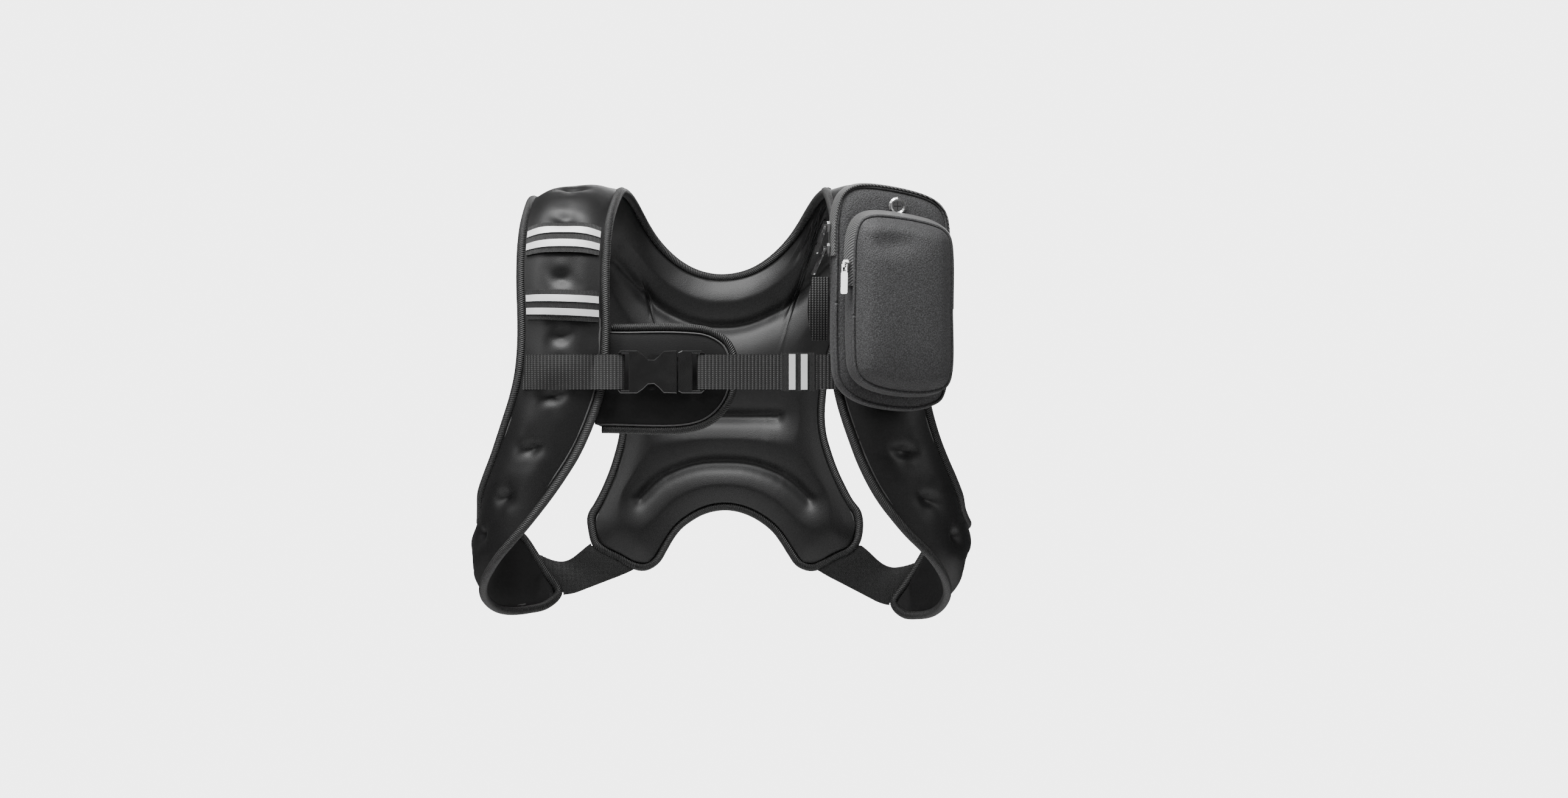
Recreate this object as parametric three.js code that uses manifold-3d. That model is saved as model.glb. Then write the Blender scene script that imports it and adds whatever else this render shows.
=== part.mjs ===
// A padded weighted vest with a fastened chest strap and a zipped pouch on its left shoulder strap.
// Millimetres, +Z up, the wearer faces -Y, +X is the wearer's left. The origin lies where the
// straps rest on the shoulders.
import * as THREE from "three";
import { mergeVertices } from "three/addons/utils/BufferGeometryUtils.js";
import Module from "manifold-3d";

const wasm = await Module();
wasm.setup();

// Driving dimensions
const VEST_WIDTH = 435;
const VEST_HEIGHT = 371;
const BODY_DEPTH = 194;
const BODY_WIDTH = 424;
const BODY_SQUARENESS = 3;
const SHOULDER_DROP = 80;
const SHOULDER_TOP = 11;
const SHOULDER_SLOPE = 7;
const SLOPE_FROM = 0.4;
const SLOPE_TO = 0.76;
const WAIST_LEAN = 4;
const GAP = 0.3;
const LAID_GAP = 0.97;

const EDGE_THICKNESS = 5;
const STRAP_CROWN = 11;
const BODY_CROWN = 3;
const SEAM_FULLNESS = 0.45;
const SEAM_TAPER = 22;
const SEAM_CLEARANCE = 0.5;
const END_CLEARANCE = 8;
const CORNER_ROUND = 15;
const TACK_FIRST = 30;
const TACK_PITCH = 49;
const TACK_RADIUS = 11;
const TACK_DEPTH = 7;
const BINDING_RADIUS = 3.6;
const FLAP_THICKNESS = 4.4;
const FLAP_BINDING_RADIUS = 3.2;

const BACK_CROWN = 6;
const BACK_BODY_CROWN = 7;
const BACK_CROWN_REACH = 26;
const CHANNEL_WIDTH = 8;
const CHANNEL_DEPTH = 5;

const BAND_HEIGHT = 25;
const BAND_THICKNESS = 1;
const UPPER_BAND_AT = 98;
const LOWER_BAND_AT = 152;
const STRIPE_WIDTH = 5.5;
const STRIPE_THICKNESS = 0.5;
const STRIPE_SPACING = 11;
const SIDE_BAND_THICKNESS = 1.6;
const SIDE_BAND_SAG = 12;
const SIDE_BAND_BOW = 5;

const WEBBING_WIDTH = 29;
const WEBBING_THICKNESS = 1.7;
const WEBBING_AT = 205;
const CHEST_HEIGHT = -143.8;
const KEEPER_WIDTH = 27.5;
const KEEPER_WALL = 1.3;
const KEEPER_X = 62;

const BUCKLE_X = -52;
const BUCKLE_STAND_OFF = 12;
const BUCKLE_LENGTH = 73;
const BUCKLE_HEIGHT = 35.5;
const BUCKLE_THICKNESS = 10.5;
const SOCKET_LENGTH = 50;
const SLOT_LENGTH = 6;
const BAR_LENGTH = 4;
const PRONG_THICKNESS = 5;
const PRONG_ROOT = 1.5;
const BUCKLE_BEVEL = 0.6;

const POUCH_WIDTH = 100;
const POUCH_HEIGHT = 188;
const POUCH_DEPTH = 22;
const POUCH_TURN = 15;
const POUCH_LEFT = 87;
const POUCH_BOTTOM = -176.6;
const POCKET_WIDTH = 92;
const POUCH_HEAD = 34;
const POCKET_DEPTH = 22;
const POCKET_INSET = 7;
const POCKET_RISE = 11;
const ZIP_THICKNESS = 1.2;
const GROMMET_RADIUS = 7.6;
const GROMMET_THICKNESS = 2;
const GROMMET_ACROSS = 0.53;
const GROMMET_DROP = 18.4;

const SLIDER_LENGTH = 9;
const SLIDER_WIDTH = 7;
const SLIDER_THICKNESS = 2.6;
const BRIDGE_WIDTH = 2;
const BRIDGE_BAR = 0.9;
const PULL_WIDTH = 6.4;
const PULL_LENGTH = 24;
const PULL_THICKNESS = 1.2;

const LOOP_LENGTH = 53;
const LOOP_WIDTH = 13.5;
const LOOP_TOP = -64.5;
const LOOP_BOW = 4;

const POCKET_NET_THICKNESS = 1;
const POCKET_MARGIN = 6;
const BACK_BAND_HEIGHT = 16;
const BACK_BAND_AT = 236;
const BACK_TAPE_WIDTH = 24;
const BACK_TAPE_THICKNESS = 1;
const SHOULDER_STRIPE_AT = 26;
const SHOULDER_STRIPE_WIDTH = 9;

// Worked out from them
const HALF_WIDTH = VEST_WIDTH / 2;
const HALF_DEPTH = BODY_DEPTH / 2;
const EDGE_INSET = BINDING_RADIUS + 2 * GAP;
const BUCKLE_Y = -HALF_DEPTH - BUCKLE_STAND_OFF;
const TUBE_SIDES = 5;

// Finishes
const finish = (color, roughness, metalness = 0) =>
  new THREE.MeshStandardMaterial({ color, roughness, metalness });
const NEOPRENE = finish(0x1b1b1c, 0.75);
const BINDING = finish(0x161617, 0.85);
const WEBBING = finish(0x202022, 0.8);
const ELASTIC = finish(0x141415, 0.8);
const REFLECTIVE = finish(0xcfd0d2, 0.4);
const BUCKLE = finish(0x0c0c0d, 0.28);
const KNIT = finish(0x3a3b3d, 0.9);
const ZIP = finish(0x2a2a2c, 0.8);
const CHROME = finish(0xd9dadc, 0.15, 1);
const RUBBER = finish(0x6a6b6d, 0.6);
const NET = finish(0x101011, 0.9);

const vest = new THREE.Group();

// Geometry helpers
const vec = (x, y, z) => new THREE.Vector3(x, y, z);
const mix = (a, b, t) => a + (b - a) * t;
const toRadians = (degrees) => (degrees * Math.PI) / 180;
const clamp = THREE.MathUtils.clamp;
const smooth = (t) => THREE.MathUtils.smoothstep(t, 0, 1);

function signedVolume(points, index) {
  let six = 0;
  for (let i = 0; i < index.length; i += 3) {
    const [a, b, c] = [points[index[i]], points[index[i + 1]], points[index[i + 2]]];
    six += a.dot(b.clone().cross(c));
  }
  return six / 6;
}

function geometryOf(points, index) {
  if (signedVolume(points, index) < 0) index.reverse();
  const geometry = new THREE.BufferGeometry().setFromPoints(points);
  return geometry.setIndex(index);
}

function add(name, geometry, material) {
  const mesh = new THREE.Mesh(geometry, material);
  mesh.name = name;
  vest.add(mesh);
}

// A solid between two faces: place(u, v) gives a point on each.
function slab(across, along, place) {
  const near = [];
  const far = [];
  for (let j = 0; j <= along; j++)
    for (let i = 0; i <= across; i++) {
      const [a, b] = place(i / across, j / along);
      near.push(a);
      far.push(b);
    }
  const row = across + 1;
  const count = near.length;
  const index = [];
  const quad = (a, b, c, d) => index.push(a, b, c, a, c, d);
  for (let j = 0; j < along; j++)
    for (let i = 0; i < across; i++) {
      const a = j * row + i;
      quad(a, a + 1, a + 1 + row, a + row);
      quad(count + a, count + a + row, count + a + 1 + row, count + a + 1);
    }
  const rim = [];
  for (let i = 0; i < across; i++) rim.push(i);
  for (let j = 0; j < along; j++) rim.push(j * row + across);
  for (let i = across; i > 0; i--) rim.push(along * row + i);
  for (let j = along; j > 0; j--) rim.push(j * row);
  rim.forEach((p, k) => {
    const q = rim[(k + 1) % rim.length];
    quad(q, p, count + p, count + q);
  });
  return geometryOf([...near, ...far], index);
}

// A solid through closed rings, each end closed by a fan round its middle.
function loft(rings) {
  const sides = rings[0].length;
  const points = rings.flat();
  const index = [];
  for (let r = 0; r + 1 < rings.length; r++)
    for (let i = 0; i < sides; i++) {
      const a = r * sides + i;
      const b = r * sides + ((i + 1) % sides);
      index.push(a, b, b + sides, a, b + sides, a + sides);
    }
  const cap = (start, flip) => {
    const middle = vec(0, 0, 0);
    for (let i = 0; i < sides; i++) middle.addScaledVector(points[start + i], 1 / sides);
    const centre = points.push(middle) - 1;
    for (let i = 0; i < sides; i++) {
      const pair = [start + i, start + ((i + 1) % sides)];
      if (flip) pair.reverse();
      index.push(centre, ...pair);
    }
  };
  cap(0, true);
  cap((rings.length - 1) * sides, false);
  return geometryOf(points, index);
}

function tube(points, radius, step = 16) {
  const path = new THREE.CatmullRomCurve3(points, false, "centripetal");
  const corners = [];
  for (let i = 0; i < TUBE_SIDES; i++) {
    const turn = (2 * Math.PI * i) / TUBE_SIDES;
    corners.push(new THREE.Vector2(radius * Math.cos(turn), radius * Math.sin(turn)));
  }
  const steps = Math.max(2, Math.round(path.getLength() / step));
  return new THREE.ExtrudeGeometry(new THREE.Shape(corners), { steps, extrudePath: path });
}

function toSolid(geometry) {
  const bare = geometry.clone();
  bare.deleteAttribute("normal");
  bare.deleteAttribute("uv");
  const merged = mergeVertices(bare, 1e-3);
  const mesh = new wasm.Mesh({
    numProp: 3,
    vertProperties: merged.attributes.position.array,
    triVerts: new Uint32Array(merged.index.array),
  });
  return new wasm.Manifold(mesh);
}

function fromSolid(solid) {
  const mesh = solid.getMesh();
  const geometry = new THREE.BufferGeometry();
  const position = new Float32Array(mesh.vertProperties);
  geometry.setAttribute("position", new THREE.BufferAttribute(position, 3));
  return geometry.setIndex(new THREE.BufferAttribute(new Uint32Array(mesh.triVerts), 1));
}

const carve = (body, ...cutters) =>
  fromSolid(cutters.reduce((left, cutter) => left.subtract(toSolid(cutter)), toSolid(body)));
const join = (body, ...others) =>
  fromSolid(others.reduce((sum, other) => sum.add(toSolid(other)), toSolid(body)));

const block = (width, depth, height, x = 0, y = 0, z = 0) =>
  new THREE.BoxGeometry(width, depth, height).translate(x, y, z);

// A flat outline in X and Z, thick in Y about zero.
function plate(corners, thickness, bevel = 0, holes = []) {
  const shape = new THREE.Shape(corners.map(([x, z]) => new THREE.Vector2(x, z)));
  holes.forEach((hole) =>
    shape.holes.push(new THREE.Path(hole.map(([x, z]) => new THREE.Vector2(x, z)))));
  const geometry = new THREE.ExtrudeGeometry(shape, {
    depth: thickness - 2 * bevel,
    bevelEnabled: bevel > 0,
    bevelThickness: bevel,
    bevelSize: bevel,
    bevelOffset: -bevel,
    bevelSegments: 1,
  });
  geometry.translate(0, 0, -thickness / 2 + bevel);
  return geometry.rotateX(Math.PI / 2);
}

// The back under the vest: drape(x, fall) is the point at x across and fall below the shoulder
// line, measured along the body. Its shoulders slope outwards and its waist leans to one side.
const SHOULDER_ARC = (Math.PI / 4) * (HALF_DEPTH + SHOULDER_DROP);

function sideTaper(x) {
  const share = Math.min(Math.abs(x) / (BODY_WIDTH / 2), 1);
  return (1 - share ** BODY_SQUARENESS) ** (1 / BODY_SQUARENESS);
}

function drape(x, fall) {
  const turn = Math.min(fall / SHOULDER_ARC, 1) * (Math.PI / 2);
  const below = Math.max(fall - SHOULDER_ARC, 0);
  const y = HALF_DEPTH * Math.sin(turn) * sideTaper(x);
  const outward = smooth((Math.abs(x) / HALF_WIDTH - SLOPE_FROM) / (SLOPE_TO - SLOPE_FROM));
  const slope = SHOULDER_SLOPE * outward * (1 - smooth(fall / SHOULDER_ARC));
  const lean = WAIST_LEAN * Math.sin(Math.PI * Math.min(fall / VEST_HEIGHT, 1));
  return vec(x - lean, y, SHOULDER_TOP - slope - SHOULDER_DROP * (1 - Math.cos(turn)) - below);
}

function drapeNormal(x, fall) {
  const step = 1;
  const along = drape(x, fall + step).sub(drape(x, fall));
  const across = drape(x + step, fall).sub(drape(x - step, fall));
  return along.cross(across).normalize().negate();
}

// The shoulder straps

// Edges as shares of half the width, half the depth and the height. The last three columns
// hold how much nearer to the middle, and how much lower, the wearer's left strap hangs.
const STRAP_COLUMNS = [
  "innerX", "innerY", "innerZ", "outerX", "outerY", "outerZ", "innerPull", "outerPull", "lower",
];
const STRAP_ROWS = [
  [0.405, 0, 0.03, 0.751, 0, 0.011, 0.012, 0, 0],
  [0.41, -0.2, 0.025, 0.754, -0.19, 0.007, 0.012, 0, 0],
  [0.428, -0.495, -0.008, 0.76, -0.464, -0.013, 0.012, 0, 0],
  [0.446, -0.784, -0.065, 0.774, -0.742, -0.065, 0.02, 0, 0],
  [0.454, -0.938, -0.148, 0.781, -0.887, -0.148, 0.03, 0.01, 0],
  [0.454, -1.01, -0.334, 0.776, -0.948, -0.323, 0.03, 0.02, 0],
  [0.47, -1.02, -0.426, 0.795, -0.907, -0.415, 0.033, 0.028, 0],
  [0.55, -1.01, -0.554, 0.85, -0.763, -0.516, 0.046, 0.043, 0],
  [0.613, -0.99, -0.617, 0.894, -0.639, -0.588, 0.064, 0.04, 0],
  [0.688, -0.959, -0.679, 0.942, -0.454, -0.659, 0.078, 0.034, 0],
  [0.788, -0.866, -0.751, 0.952, -0.186, -0.712, 0.078, 0.022, 0],
  [0.88, -0.66, -0.812, 0.961, 0.041, -0.733, 0.07, 0.008, 0],
  [0.947, -0.103, -0.895, 0.937, 0.371, -0.747, 0.075, 0.004, 0],
  [0.856, 0.464, -0.943, 0.86, 0.598, -0.747, 0.06, 0.01, 0.008],
  [0.656, 0.804, -0.919, 0.806, 0.701, -0.775, 0, 0, 0.025],
];
const strapRows = STRAP_ROWS.map((row) =>
  Object.fromEntries(row.map((value, i) => [STRAP_COLUMNS[i], value])));

function strapEdges(side) {
  const pulled = side > 0 ? 1 : 0;
  const edge = (x, y, z, pull) =>
    new THREE.CatmullRomCurve3(strapRows.map((row) => vec(
      side * (row[x] - pulled * row[pull]) * HALF_WIDTH,
      row[y] * HALF_DEPTH,
      (row[z] - pulled * row.lower) * VEST_HEIGHT,
    )));
  return {
    side,
    inner: edge("innerX", "innerY", "innerZ", "innerPull"),
    outer: edge("outerX", "outerY", "outerZ", "outerPull"),
  };
}

const padCrown = (u) => (1 - Math.abs(2 * u - 1) ** 2.3) ** 0.8;

function makeStrap(side) {
  const edges = strapEdges(side);
  const samples = 240;
  const lengths = [0];
  const middle = (t) => edges.inner.getPoint(t).lerp(edges.outer.getPoint(t), 0.5);
  for (let i = 1; i <= samples; i++)
    lengths.push(lengths[i - 1] + middle(i / samples).distanceTo(middle((i - 1) / samples)));
  const total = lengths[samples];
  const timeAt = (distance) => {
    const wanted = clamp(distance, 0, total);
    let i = 1;
    while (i < samples && lengths[i] < wanted) i++;
    return (i - 1 + (wanted - lengths[i - 1]) / (lengths[i] - lengths[i - 1])) / samples;
  };
  const normalAt = (t) => {
    const along = middle(Math.min(t + 0.004, 1)).sub(middle(Math.max(t - 0.004, 0)));
    const across = edges.outer.getPoint(t).sub(edges.inner.getPoint(t));
    return across.cross(along).multiplyScalar(-side).normalize();
  };
  const swell = (u, distance) => {
    const tack = (distance - TACK_FIRST) / TACK_PITCH;
    const nearest = (tack - Math.round(tack)) * TACK_PITCH;
    const offCentre = (u - 0.5) * 2 * STRAP_CROWN * 3;
    const dimple = Math.exp(-(nearest ** 2 + offCentre ** 2 * 0.6) / TACK_RADIUS ** 2);
    const start = mix(SEAM_FULLNESS, 1, smooth(distance / SEAM_TAPER));
    const end = smooth((total - distance) / SEAM_TAPER);
    const kept = padCrown(u) * start * end;
    return Math.max(STRAP_CROWN * kept - TACK_DEPTH * dimple * kept, 0);
  };
  const place = (u, distance, rise = 0) => {
    const t = timeAt(distance);
    const inner = edges.inner.getPoint(t);
    const outer = edges.outer.getPoint(t);
    const across = outer.clone().sub(inner);
    const width = across.length();
    const inset = (edge) => {
      const slant = edge.getTangent(t).cross(across).length() / width;
      const rounded = CORNER_ROUND * smooth(1 - (total - distance) / (3 * CORNER_ROUND));
      return (EDGE_INSET / Math.max(slant, 0.4) + rounded) / width;
    };
    const share = mix(inset(edges.inner), 1 - inset(edges.outer), u);
    const normal = normalAt(t);
    const point = inner.lerp(outer, share);
    const outward = EDGE_THICKNESS / 2 + swell(u, distance) + rise;
    const inward = EDGE_THICKNESS / 2 + BODY_CROWN * padCrown(u) * smooth((total - distance) / SEAM_TAPER);
    return {
      face: point.clone().addScaledVector(normal, outward),
      back: point.clone().addScaledVector(normal, -inward),
      normal,
    };
  };
  const endAcross = edges.outer.getPoint(1).sub(edges.inner.getPoint(1)).normalize();
  const endSlant = middle(1).sub(middle(0.99)).normalize().cross(endAcross).length();
  return { side, edges, total, place, timeAt, endSlant };
}

function strapSolid(strap) {
  const start = SEAM_CLEARANCE;
  const end = strap.total - EDGE_INSET / strap.endSlant - END_CLEARANCE;
  return slab(8, 37, (u, v) => {
    const at = strap.place(u, mix(start, end, v));
    return [at.face, at.back];
  });
}

function strapBinding(strap) {
  const { inner, outer } = strap.edges;
  const points = [];
  const first = strap.timeAt(SEAM_CLEARANCE);
  const count = 26;
  const last = 0.985; // the corner turns from here
  for (let i = 0; i <= count; i++) points.push(inner.getPoint(mix(first, last, i / count)));
  points.push(inner.getPoint(1).lerp(outer.getPoint(1), 0.1));
  points.push(inner.getPoint(1).lerp(outer.getPoint(1), 0.5));
  points.push(inner.getPoint(1).lerp(outer.getPoint(1), 0.9));
  for (let i = count; i >= 0; i--) points.push(outer.getPoint(mix(first, last, i / count)));
  return tube(points, BINDING_RADIUS, 19);
}

// A strip lying on a strap from one edge to the other.
function strapStrip(strap, middle, height, rise, thickness, across = 8, margin = 0.01) {
  return slab(across, 3, (u, v) => {
    const distance = middle + (v - 0.5) * height;
    const share = mix(margin, 1 - margin, u);
    const low = strap.place(share, distance, rise);
    const high = strap.place(share, distance, rise + thickness);
    return [low.face, high.face];
  });
}

const rightHandStrap = makeStrap(-1);
const leftHandStrap = makeStrap(1);

function makeStraps() {
  add("right_strap", strapSolid(rightHandStrap), NEOPRENE);
  add("left_strap", strapSolid(leftHandStrap), NEOPRENE);
  add("right_strap_binding", strapBinding(rightHandStrap), BINDING);
  add("left_strap_binding", strapBinding(leftHandStrap), BINDING);
  const bands = { upper: UPPER_BAND_AT, lower: LOWER_BAND_AT };
  for (const [name, middle] of Object.entries(bands)) {
    const band = strapStrip(rightHandStrap, middle, BAND_HEIGHT, LAID_GAP, BAND_THICKNESS);
    add(name + "_band", band, ELASTIC);
    for (const end of [-1, 1]) {
      const at = middle + (end * STRIPE_SPACING) / 2;
      const rise = LAID_GAP + GAP + BAND_THICKNESS;
      const stripe = strapStrip(rightHandStrap, at, STRIPE_WIDTH, rise, STRIPE_THICKNESS);
      add(name + "_band_stripe_" + (end < 0 ? "a" : "b"), stripe, REFLECTIVE);
    }
  }
}

// The back panel, drawn on the body: x as a share of half the width, fall as a share of the height
const NECK_LINE = [
  [0.405, 0.001], [0.35, 0.129], [0.306, 0.207], [0.255, 0.262], [0.186, 0.307], [0.106, 0.337], [0, 0.35],
];
const ARM_LINE = [
  [0.751, 0.001], [0.7, 0.16], [0.6, 0.3], [0.49, 0.44], [0.42, 0.56],
  [0.395, 0.68], [0.408, 0.74], [0.445, 0.81], [0.497, 0.875], [0.55, 0.93], [0.552, 0.955],
];
const BOTTOM_LINE = [
  [0.54, 0.98], [0.42, 1.012], [0.367, 1.031], [0.325, 1.032], [0.284, 1.018],
  [0.232, 0.969], [0.196, 0.941], [0.147, 0.918], [0.08, 0.898], [0, 0.89],
];
const NECK_CHANNEL = [[0.43, 0.3], [0.347, 0.37], [0.24, 0.427], [0.1, 0.462], [0, 0.468]];
const MIDDLE_CHANNEL = [[0.22, 0.677], [0, 0.677]];
const BOTTOM_CHANNEL = [[0.34, 0.872], [0.25, 0.822], [0.12, 0.792], [0, 0.786]];

const onBody = ([x, fall]) => new THREE.Vector2(x * HALF_WIDTH, fall * VEST_HEIGHT);
const mirrored = (line) => [...line, ...line.slice(0, -1).reverse().map(([x, fall]) => [-x, fall])];
const flatCurve = (line) => new THREE.SplineCurve(line.map(onBody));

const neckCurve = flatCurve(mirrored(NECK_LINE));
const armCurve = flatCurve(ARM_LINE);
const farArmCurve = flatCurve(ARM_LINE.map(([x, fall]) => [-x, fall]));
const bottomCurve = flatCurve(mirrored(BOTTOM_LINE));
const channels = [NECK_CHANNEL, MIDDLE_CHANNEL, BOTTOM_CHANNEL].map((line) =>
  flatCurve(mirrored(line)).getSpacedPoints(40));
const boundEdges = [
  neckCurve.getSpacedPoints(60),
  armCurve.getSpacedPoints(60),
  farArmCurve.getSpacedPoints(60),
  bottomCurve.getSpacedPoints(80),
];
const distanceTo = (points, place) =>
  points.reduce((least, point) => Math.min(least, point.distanceTo(place)), Infinity);

// How far down the bottom line lies at x
const bottomPoints = bottomCurve.getSpacedPoints(120);
const bottomAt = (x) => bottomPoints.reduce((best, point) =>
  (Math.abs(point.x - x) < Math.abs(best.x - x) ? point : best)).y;

// The panel ends short of its binding: each line is drawn in by the binding's radius.
function drawnLine(curve, count, side) {
  const points = [];
  for (let i = 0; i <= count; i++) {
    const ahead = curve.getTangentAt(i / count);
    const inward = new THREE.Vector2(-ahead.y, ahead.x).multiplyScalar(side * (EDGE_INSET + 4 * GAP));
    points.push(curve.getPointAt(i / count).add(inward));
  }
  return points;
}
const neckInset = drawnLine(neckCurve, 40, -1);
const armInset = drawnLine(armCurve, 30, 1);
const bottomInset = drawnLine(bottomCurve, 60, 1);
for (const end of [neckInset[0], neckInset.at(-1), armInset[0]]) end.y = GAP;
const corner = armInset.at(-1).clone().lerp(bottomInset[0], 0.5).add(new THREE.Vector2(-4.5, -4.5));
armInset[armInset.length - 1] = corner;
bottomInset[0] = corner;
bottomInset[bottomInset.length - 1] = new THREE.Vector2(-corner.x, corner.y);
const neckSide = new THREE.SplineCurve(neckInset);
const armSide = new THREE.SplineCurve(armInset);
const bottomSide = new THREE.SplineCurve(bottomInset);

// The shoulder seam takes this share of the grid on each side of the neck.
const SEAM_SHARE = 4 / 21;

function topEdge(u) {
  const flip = u > 0.5 ? -1 : 1;
  const w = u > 0.5 ? 1 - u : u;
  const point = w <= SEAM_SHARE
    ? armInset[0].clone().lerp(neckInset[0], w / SEAM_SHARE)
    : neckSide.getPointAt(((w - SEAM_SHARE) / (0.5 - SEAM_SHARE)) * 0.5);
  return new THREE.Vector2(flip * point.x, point.y);
}

function panelPoint(u, v) {
  const top = topEdge(u);
  const bottom = bottomSide.getPointAt(u);
  const near = armSide.getPointAt(v);
  const far = new THREE.Vector2(-near.x, near.y);
  const corners = [topEdge(0), topEdge(1), bottomSide.getPointAt(0), bottomSide.getPointAt(1)];
  const blend = (key) => {
    const [a, b, c, d] = corners.map((point) => point[key]);
    return mix(top[key], bottom[key], v) + mix(near[key], far[key], u) -
      mix(mix(a, b, u), mix(c, d, u), v);
  };
  return new THREE.Vector2(blend("x"), blend("y"));
}

function panelSwell(place) {
  const edge = Math.min(...boundEdges.map((points) => distanceTo(points, place)));
  const rise = (1 - (1 - Math.min(edge / BACK_CROWN_REACH, 1)) ** 2.3) ** 0.8;
  const seam = mix(0.8, 1, smooth(place.y / SEAM_TAPER));
  const sunk = channels.map((points) =>
    CHANNEL_DEPTH * Math.exp(-((distanceTo(points, place) / CHANNEL_WIDTH) ** 2)));
  return { rise: rise * seam, soft: smooth(edge / BACK_CROWN_REACH) * seam, sunk: Math.max(...sunk) };
}

// A point of the panel's outer face (rise above it) or of its body face.
function panelFace(x, fall, outer, rise = 0) {
  const place = new THREE.Vector2(x, fall);
  const swell = panelSwell(place);
  const half = EDGE_THICKNESS / 2;
  const outward = half + BACK_CROWN * swell.soft + rise;
  const inward = half + BACK_BODY_CROWN * swell.rise - swell.sunk * swell.rise;
  return drape(x, fall).addScaledVector(drapeNormal(x, fall), outer ? outward : -inward);
}

const edgeTube = (curve, count) => {
  const points = [];
  for (let i = 0; i <= count; i++) {
    const at = curve.getPointAt(i / count);
    points.push(drape(at.x, at.y));
  }
  return points;
};

function makeBack() {
  const panel = slab(21, 14, (u, v) => {
    const at = panelPoint(u, v);
    return [panelFace(at.x, at.y, true), panelFace(at.x, at.y, false)];
  });
  add("back_panel", panel, NEOPRENE);
  add("neckline_binding", tube(edgeTube(neckCurve, 30), BINDING_RADIUS), BINDING);
  const near = edgeTube(armCurve, 24).slice(0, -1);
  const far = edgeTube(farArmCurve, 24).slice(0, -1).reverse();
  const round = [...near, ...edgeTube(bottomCurve, 44).slice(1, -1), ...far];
  add("back_binding", tube(round, BINDING_RADIUS, 12), BINDING);
}

// A strip on the outer face of the panel, round x and fall, rise above it.
function panelStrip(width, from, to, x, rise, thickness, across, along) {
  return slab(across, along, (u, v) => {
    const at = x + (u - 0.5) * width;
    const fall = mix(from, to, v);
    const lift = typeof rise === "function" ? rise(fall) : rise;
    return [panelFace(at, fall, true, lift), panelFace(at, fall, true, lift + thickness)];
  });
}

function makeBackTrim() {
  const bandTop = BACK_BAND_AT - BACK_BAND_HEIGHT / 2;
  const bandEnd = BACK_BAND_AT + BACK_BAND_HEIGHT / 2;
  const neckEnd = NECK_LINE.at(-1)[1] * VEST_HEIGHT + EDGE_INSET + GAP;
  const archEnd = BOTTOM_LINE.at(-1)[1] * VEST_HEIGHT - EDGE_INSET - GAP;
  const reach = 2 * (ARM_LINE[5][0] * HALF_WIDTH - EDGE_INSET - 6);
  const layer = LAID_GAP + POCKET_NET_THICKNESS + GAP;
  const tapeRise = (fall) => mix(LAID_GAP, layer + 0.3, smooth((fall - bandTop + 22) / 12));
  add("back_band", panelStrip(reach, bandTop, bandEnd, 0, LAID_GAP, POCKET_NET_THICKNESS, 12, 1), ELASTIC);
  const net = slab(12, 6, (u, v) => {
    const x = (u - 0.5) * reach;
    const fall = mix(bandEnd + GAP, bottomAt(x) - EDGE_INSET - POCKET_MARGIN, v);
    return [
      panelFace(x, fall, true, LAID_GAP),
      panelFace(x, fall, true, LAID_GAP + POCKET_NET_THICKNESS),
    ];
  });
  add("mesh_pocket", net, NET);
  const tape = panelStrip(BACK_TAPE_WIDTH, neckEnd, archEnd, 0, tapeRise, BACK_TAPE_THICKNESS, 2, 13);
  add("back_tape", tape, ELASTIC);
  for (const side of [-1, 1]) {
    const x = (side * STRIPE_SPACING) / 2;
    const rise = (fall) => tapeRise(fall) + BACK_TAPE_THICKNESS + GAP;
    const stripe = panelStrip(STRIPE_WIDTH, neckEnd, archEnd, x, rise, STRIPE_THICKNESS, 1, 13);
    add("back_stripe_" + (side < 0 ? "right" : "left"), stripe, REFLECTIVE);
    const inner = NECK_LINE[0][0] * HALF_WIDTH;
    const outer = ARM_LINE[0][0] * HALF_WIDTH;
    const width = outer - inner - 2 * EDGE_INSET - 8;
    const from = SHOULDER_STRIPE_AT;
    const to = from + SHOULDER_STRIPE_WIDTH;
    const middle = (side * (outer + inner)) / 2 - side * 4;
    const strip = panelStrip(width, from, to, middle, LAID_GAP, STRIPE_THICKNESS, 6, 1);
    add("shoulder_stripe_" + (side < 0 ? "right" : "left"), strip, REFLECTIVE);
  }
}

// Elastic bands from the strap ends to the panel's lower corners
function makeSideBand(strap) {
  const end = strap.edges;
  const low = end.inner.getPoint(1).lerp(end.outer.getPoint(1), 0.02);
  const high = end.inner.getPoint(1).lerp(end.outer.getPoint(1), 0.8);
  const reach = EDGE_INSET + (strap.side > 0 ? 1 : 1.5) * SIDE_BAND_THICKNESS;
  const corner = (t) => {
    const at = bottomCurve.getPointAt(t);
    return drape(strap.side * Math.abs(at.x), at.y);
  };
  const cornerHigh = corner(0.005);
  const cornerLow = corner(0.17);
  return slab(3, 10, (u, v) => {
    const from = low.clone().lerp(high, u);
    const to = cornerLow.clone().lerp(cornerHigh, u);
    const run = to.clone().sub(from);
    const span = run.length();
    const point = from.clone().addScaledVector(run, mix(reach / span, 1 - reach / span, v));
    point.z -= u * SIDE_BAND_SAG * Math.sin(Math.PI * v);
    point.y += SIDE_BAND_BOW * Math.sin(Math.PI * v);
    const normal = vec(strap.side * 0.25, 0.97, 0);
    return [
      point.clone().addScaledVector(normal, SIDE_BAND_THICKNESS / 2),
      point.clone().addScaledVector(normal, -SIDE_BAND_THICKNESS / 2),
    ];
  });
}

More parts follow.
